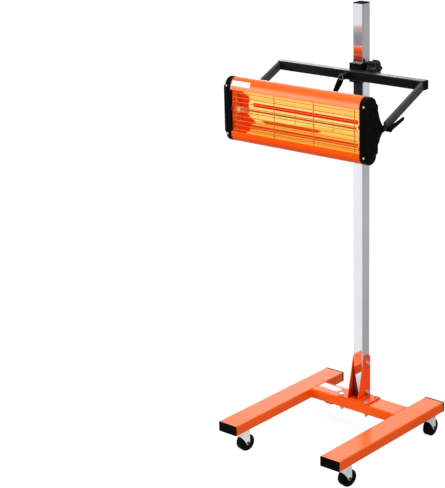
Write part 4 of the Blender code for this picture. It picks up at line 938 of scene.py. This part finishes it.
def floor_light(graph, away):
    """How bright the floor looks in reflections: brightest on the left, dim close behind the
    object with a bright pool further back, and a grey and a rosy band far out in front, painted
    reflections for the mast to mirror above the collar."""
    heading = graph.vector_math("NORMALIZE", graph.place())[0]

    def toward(direction):
        return graph.vector_math("DOT_PRODUCT", heading, direction)["Value"]

    level = graph.span(toward(LEFT), -1.0, 1.0, *FLOOR_MIRRORED_LEVELS)
    ahead = graph.span(toward(FRONT_LEFT), *FRONT_LEFT_RANGE)
    behind = graph.span(toward(BACK_RIGHT), *BACK_RIGHT_RANGE)
    pool = graph.times(graph.band(away, *POOL_BAND), behind)
    level = graph.plus(level, graph.times(pool, POOL_GAIN))
    dim = graph.times(graph.span(away, *DIM_RANGE, DIM_LOSS, 0.0), behind)
    level = graph.times(level, graph.minus(1.0, dim))
    far = graph.times(graph.span(away, *FAR_RANGE), ahead)
    level = graph.plus(level, graph.times(far, FAR_GAIN))
    grey = graph.times(graph.band(away, *GREY_BAND), ahead)
    tone = graph.mix(grey, WHITE, FLOOR_GREY)
    rosy = graph.times(graph.band(away, *ROSY_BAND), ahead)
    return level, graph.mix(rosy, tone, FLOOR_ROSY)


def floor_material():
    """White to the camera but for the object's shadow, and a studio floor in reflections."""
    material, graph = new_graph("pale_floor")
    seen, mirrored = ray_kinds(graph)
    away = graph.vector_math("LENGTH", graph.place())["Value"]
    reflected, tone = floor_light(graph, away)
    shown = graph.times(seen, graph.span(away, *FLOOR_SHOWN_RANGE, *FLOOR_SHOWN_LEVELS))
    strength = graph.plus(shown, graph.times(mirrored, reflected))
    lit = graph.add("BsdfDiffuse", {"Color": FLOOR_BASE})
    light = graph.add("Emission", {"Strength": strength, "Color": graph.mix(seen, tone, WHITE)})
    graph.surface(graph.add("AddShader", {0: lit.outputs[0], 1: light.outputs[0]}))
    return material


def build_floor():
    mesh = bpy.data.meshes.new("floor")
    corners = [(a * FLOOR_REACH, b * FLOOR_REACH, 0) for a, b in ((-1, -1), (1, -1), (1, 1), (-1, 1))]
    mesh.from_pydata(corners, [], [(0, 1, 2, 3)])
    mesh.materials.append(floor_material())
    floor = bpy.data.objects.new("floor", mesh)
    floor.location.z = -FLOOR_DROP
    scene.collection.objects.link(floor)


WORLD_LIGHT = 0.45
WORLD_SEEN_MORE = 0.57
WORLD_MIRRORED_MORE = 0.4


def build_world():
    world = bpy.data.worlds.new("studio")
    world.use_nodes = True
    scene.world = world
    graph = Graph(world.node_tree)
    seen, mirrored = ray_kinds(graph)
    strength = graph.plus(WORLD_LIGHT, graph.times(seen, WORLD_SEEN_MORE))
    strength = graph.plus(strength, graph.times(mirrored, WORLD_MIRRORED_MORE))
    background = graph.add("Background", {"Color": WHITE, "Strength": strength})
    output = graph.add("OutputWorld")
    graph.tree.links.new(background.outputs[0], output.inputs["Surface"])


# Lamps: name, place, the point that it faces, width, height and watts
LAMPS = (
    ("front_softbox", (-2.7, -3.0, 1.62), (0, 0, 0.9), 2.2, 1.5, 76),
    ("front_strip", (-2.1, -2.65, 2.1), (0, -0.1, 1.28), 1.8, 0.5, 17),
    ("top_softbox", (0.5, -0.8, 4.0), (0, 0, 0.6), 3.0, 3.0, 135),
    ("side_softbox", (3.4, -1.2, 2.0), (0, 0, 0.7), 1.5, 1.5, 42),
    ("back_strip", (-2.4, 2.95, 2.52), (0, 0, 1.28), 1.0, 0.7, 10),
    ("back_panel", (-2.45, 2.9, 1.45), (0, 0, 0.12), 2.2, 0.9, 19),
)

# Its mirror image would lie over the whole mast
LAMP_LEFT_OUT_OF_REFLECTIONS = "front_softbox"


def softbox(name, place, aim, width, height, watts):
    data = bpy.data.lights.new(name, "AREA")
    data.shape = "RECTANGLE"
    data.size = width
    data.size_y = height
    data.energy = watts
    lamp = bpy.data.objects.new(name, data)
    lamp.location = place
    lamp.rotation_euler = (Vector(aim) - Vector(place)).to_track_quat("-Z", "Y").to_euler()
    lamp.visible_camera = False
    lamp.visible_glossy = name != LAMP_LEFT_OUT_OF_REFLECTIONS
    scene.collection.objects.link(lamp)


build_floor()
build_world()
for lamp in LAMPS:
    softbox(*lamp)
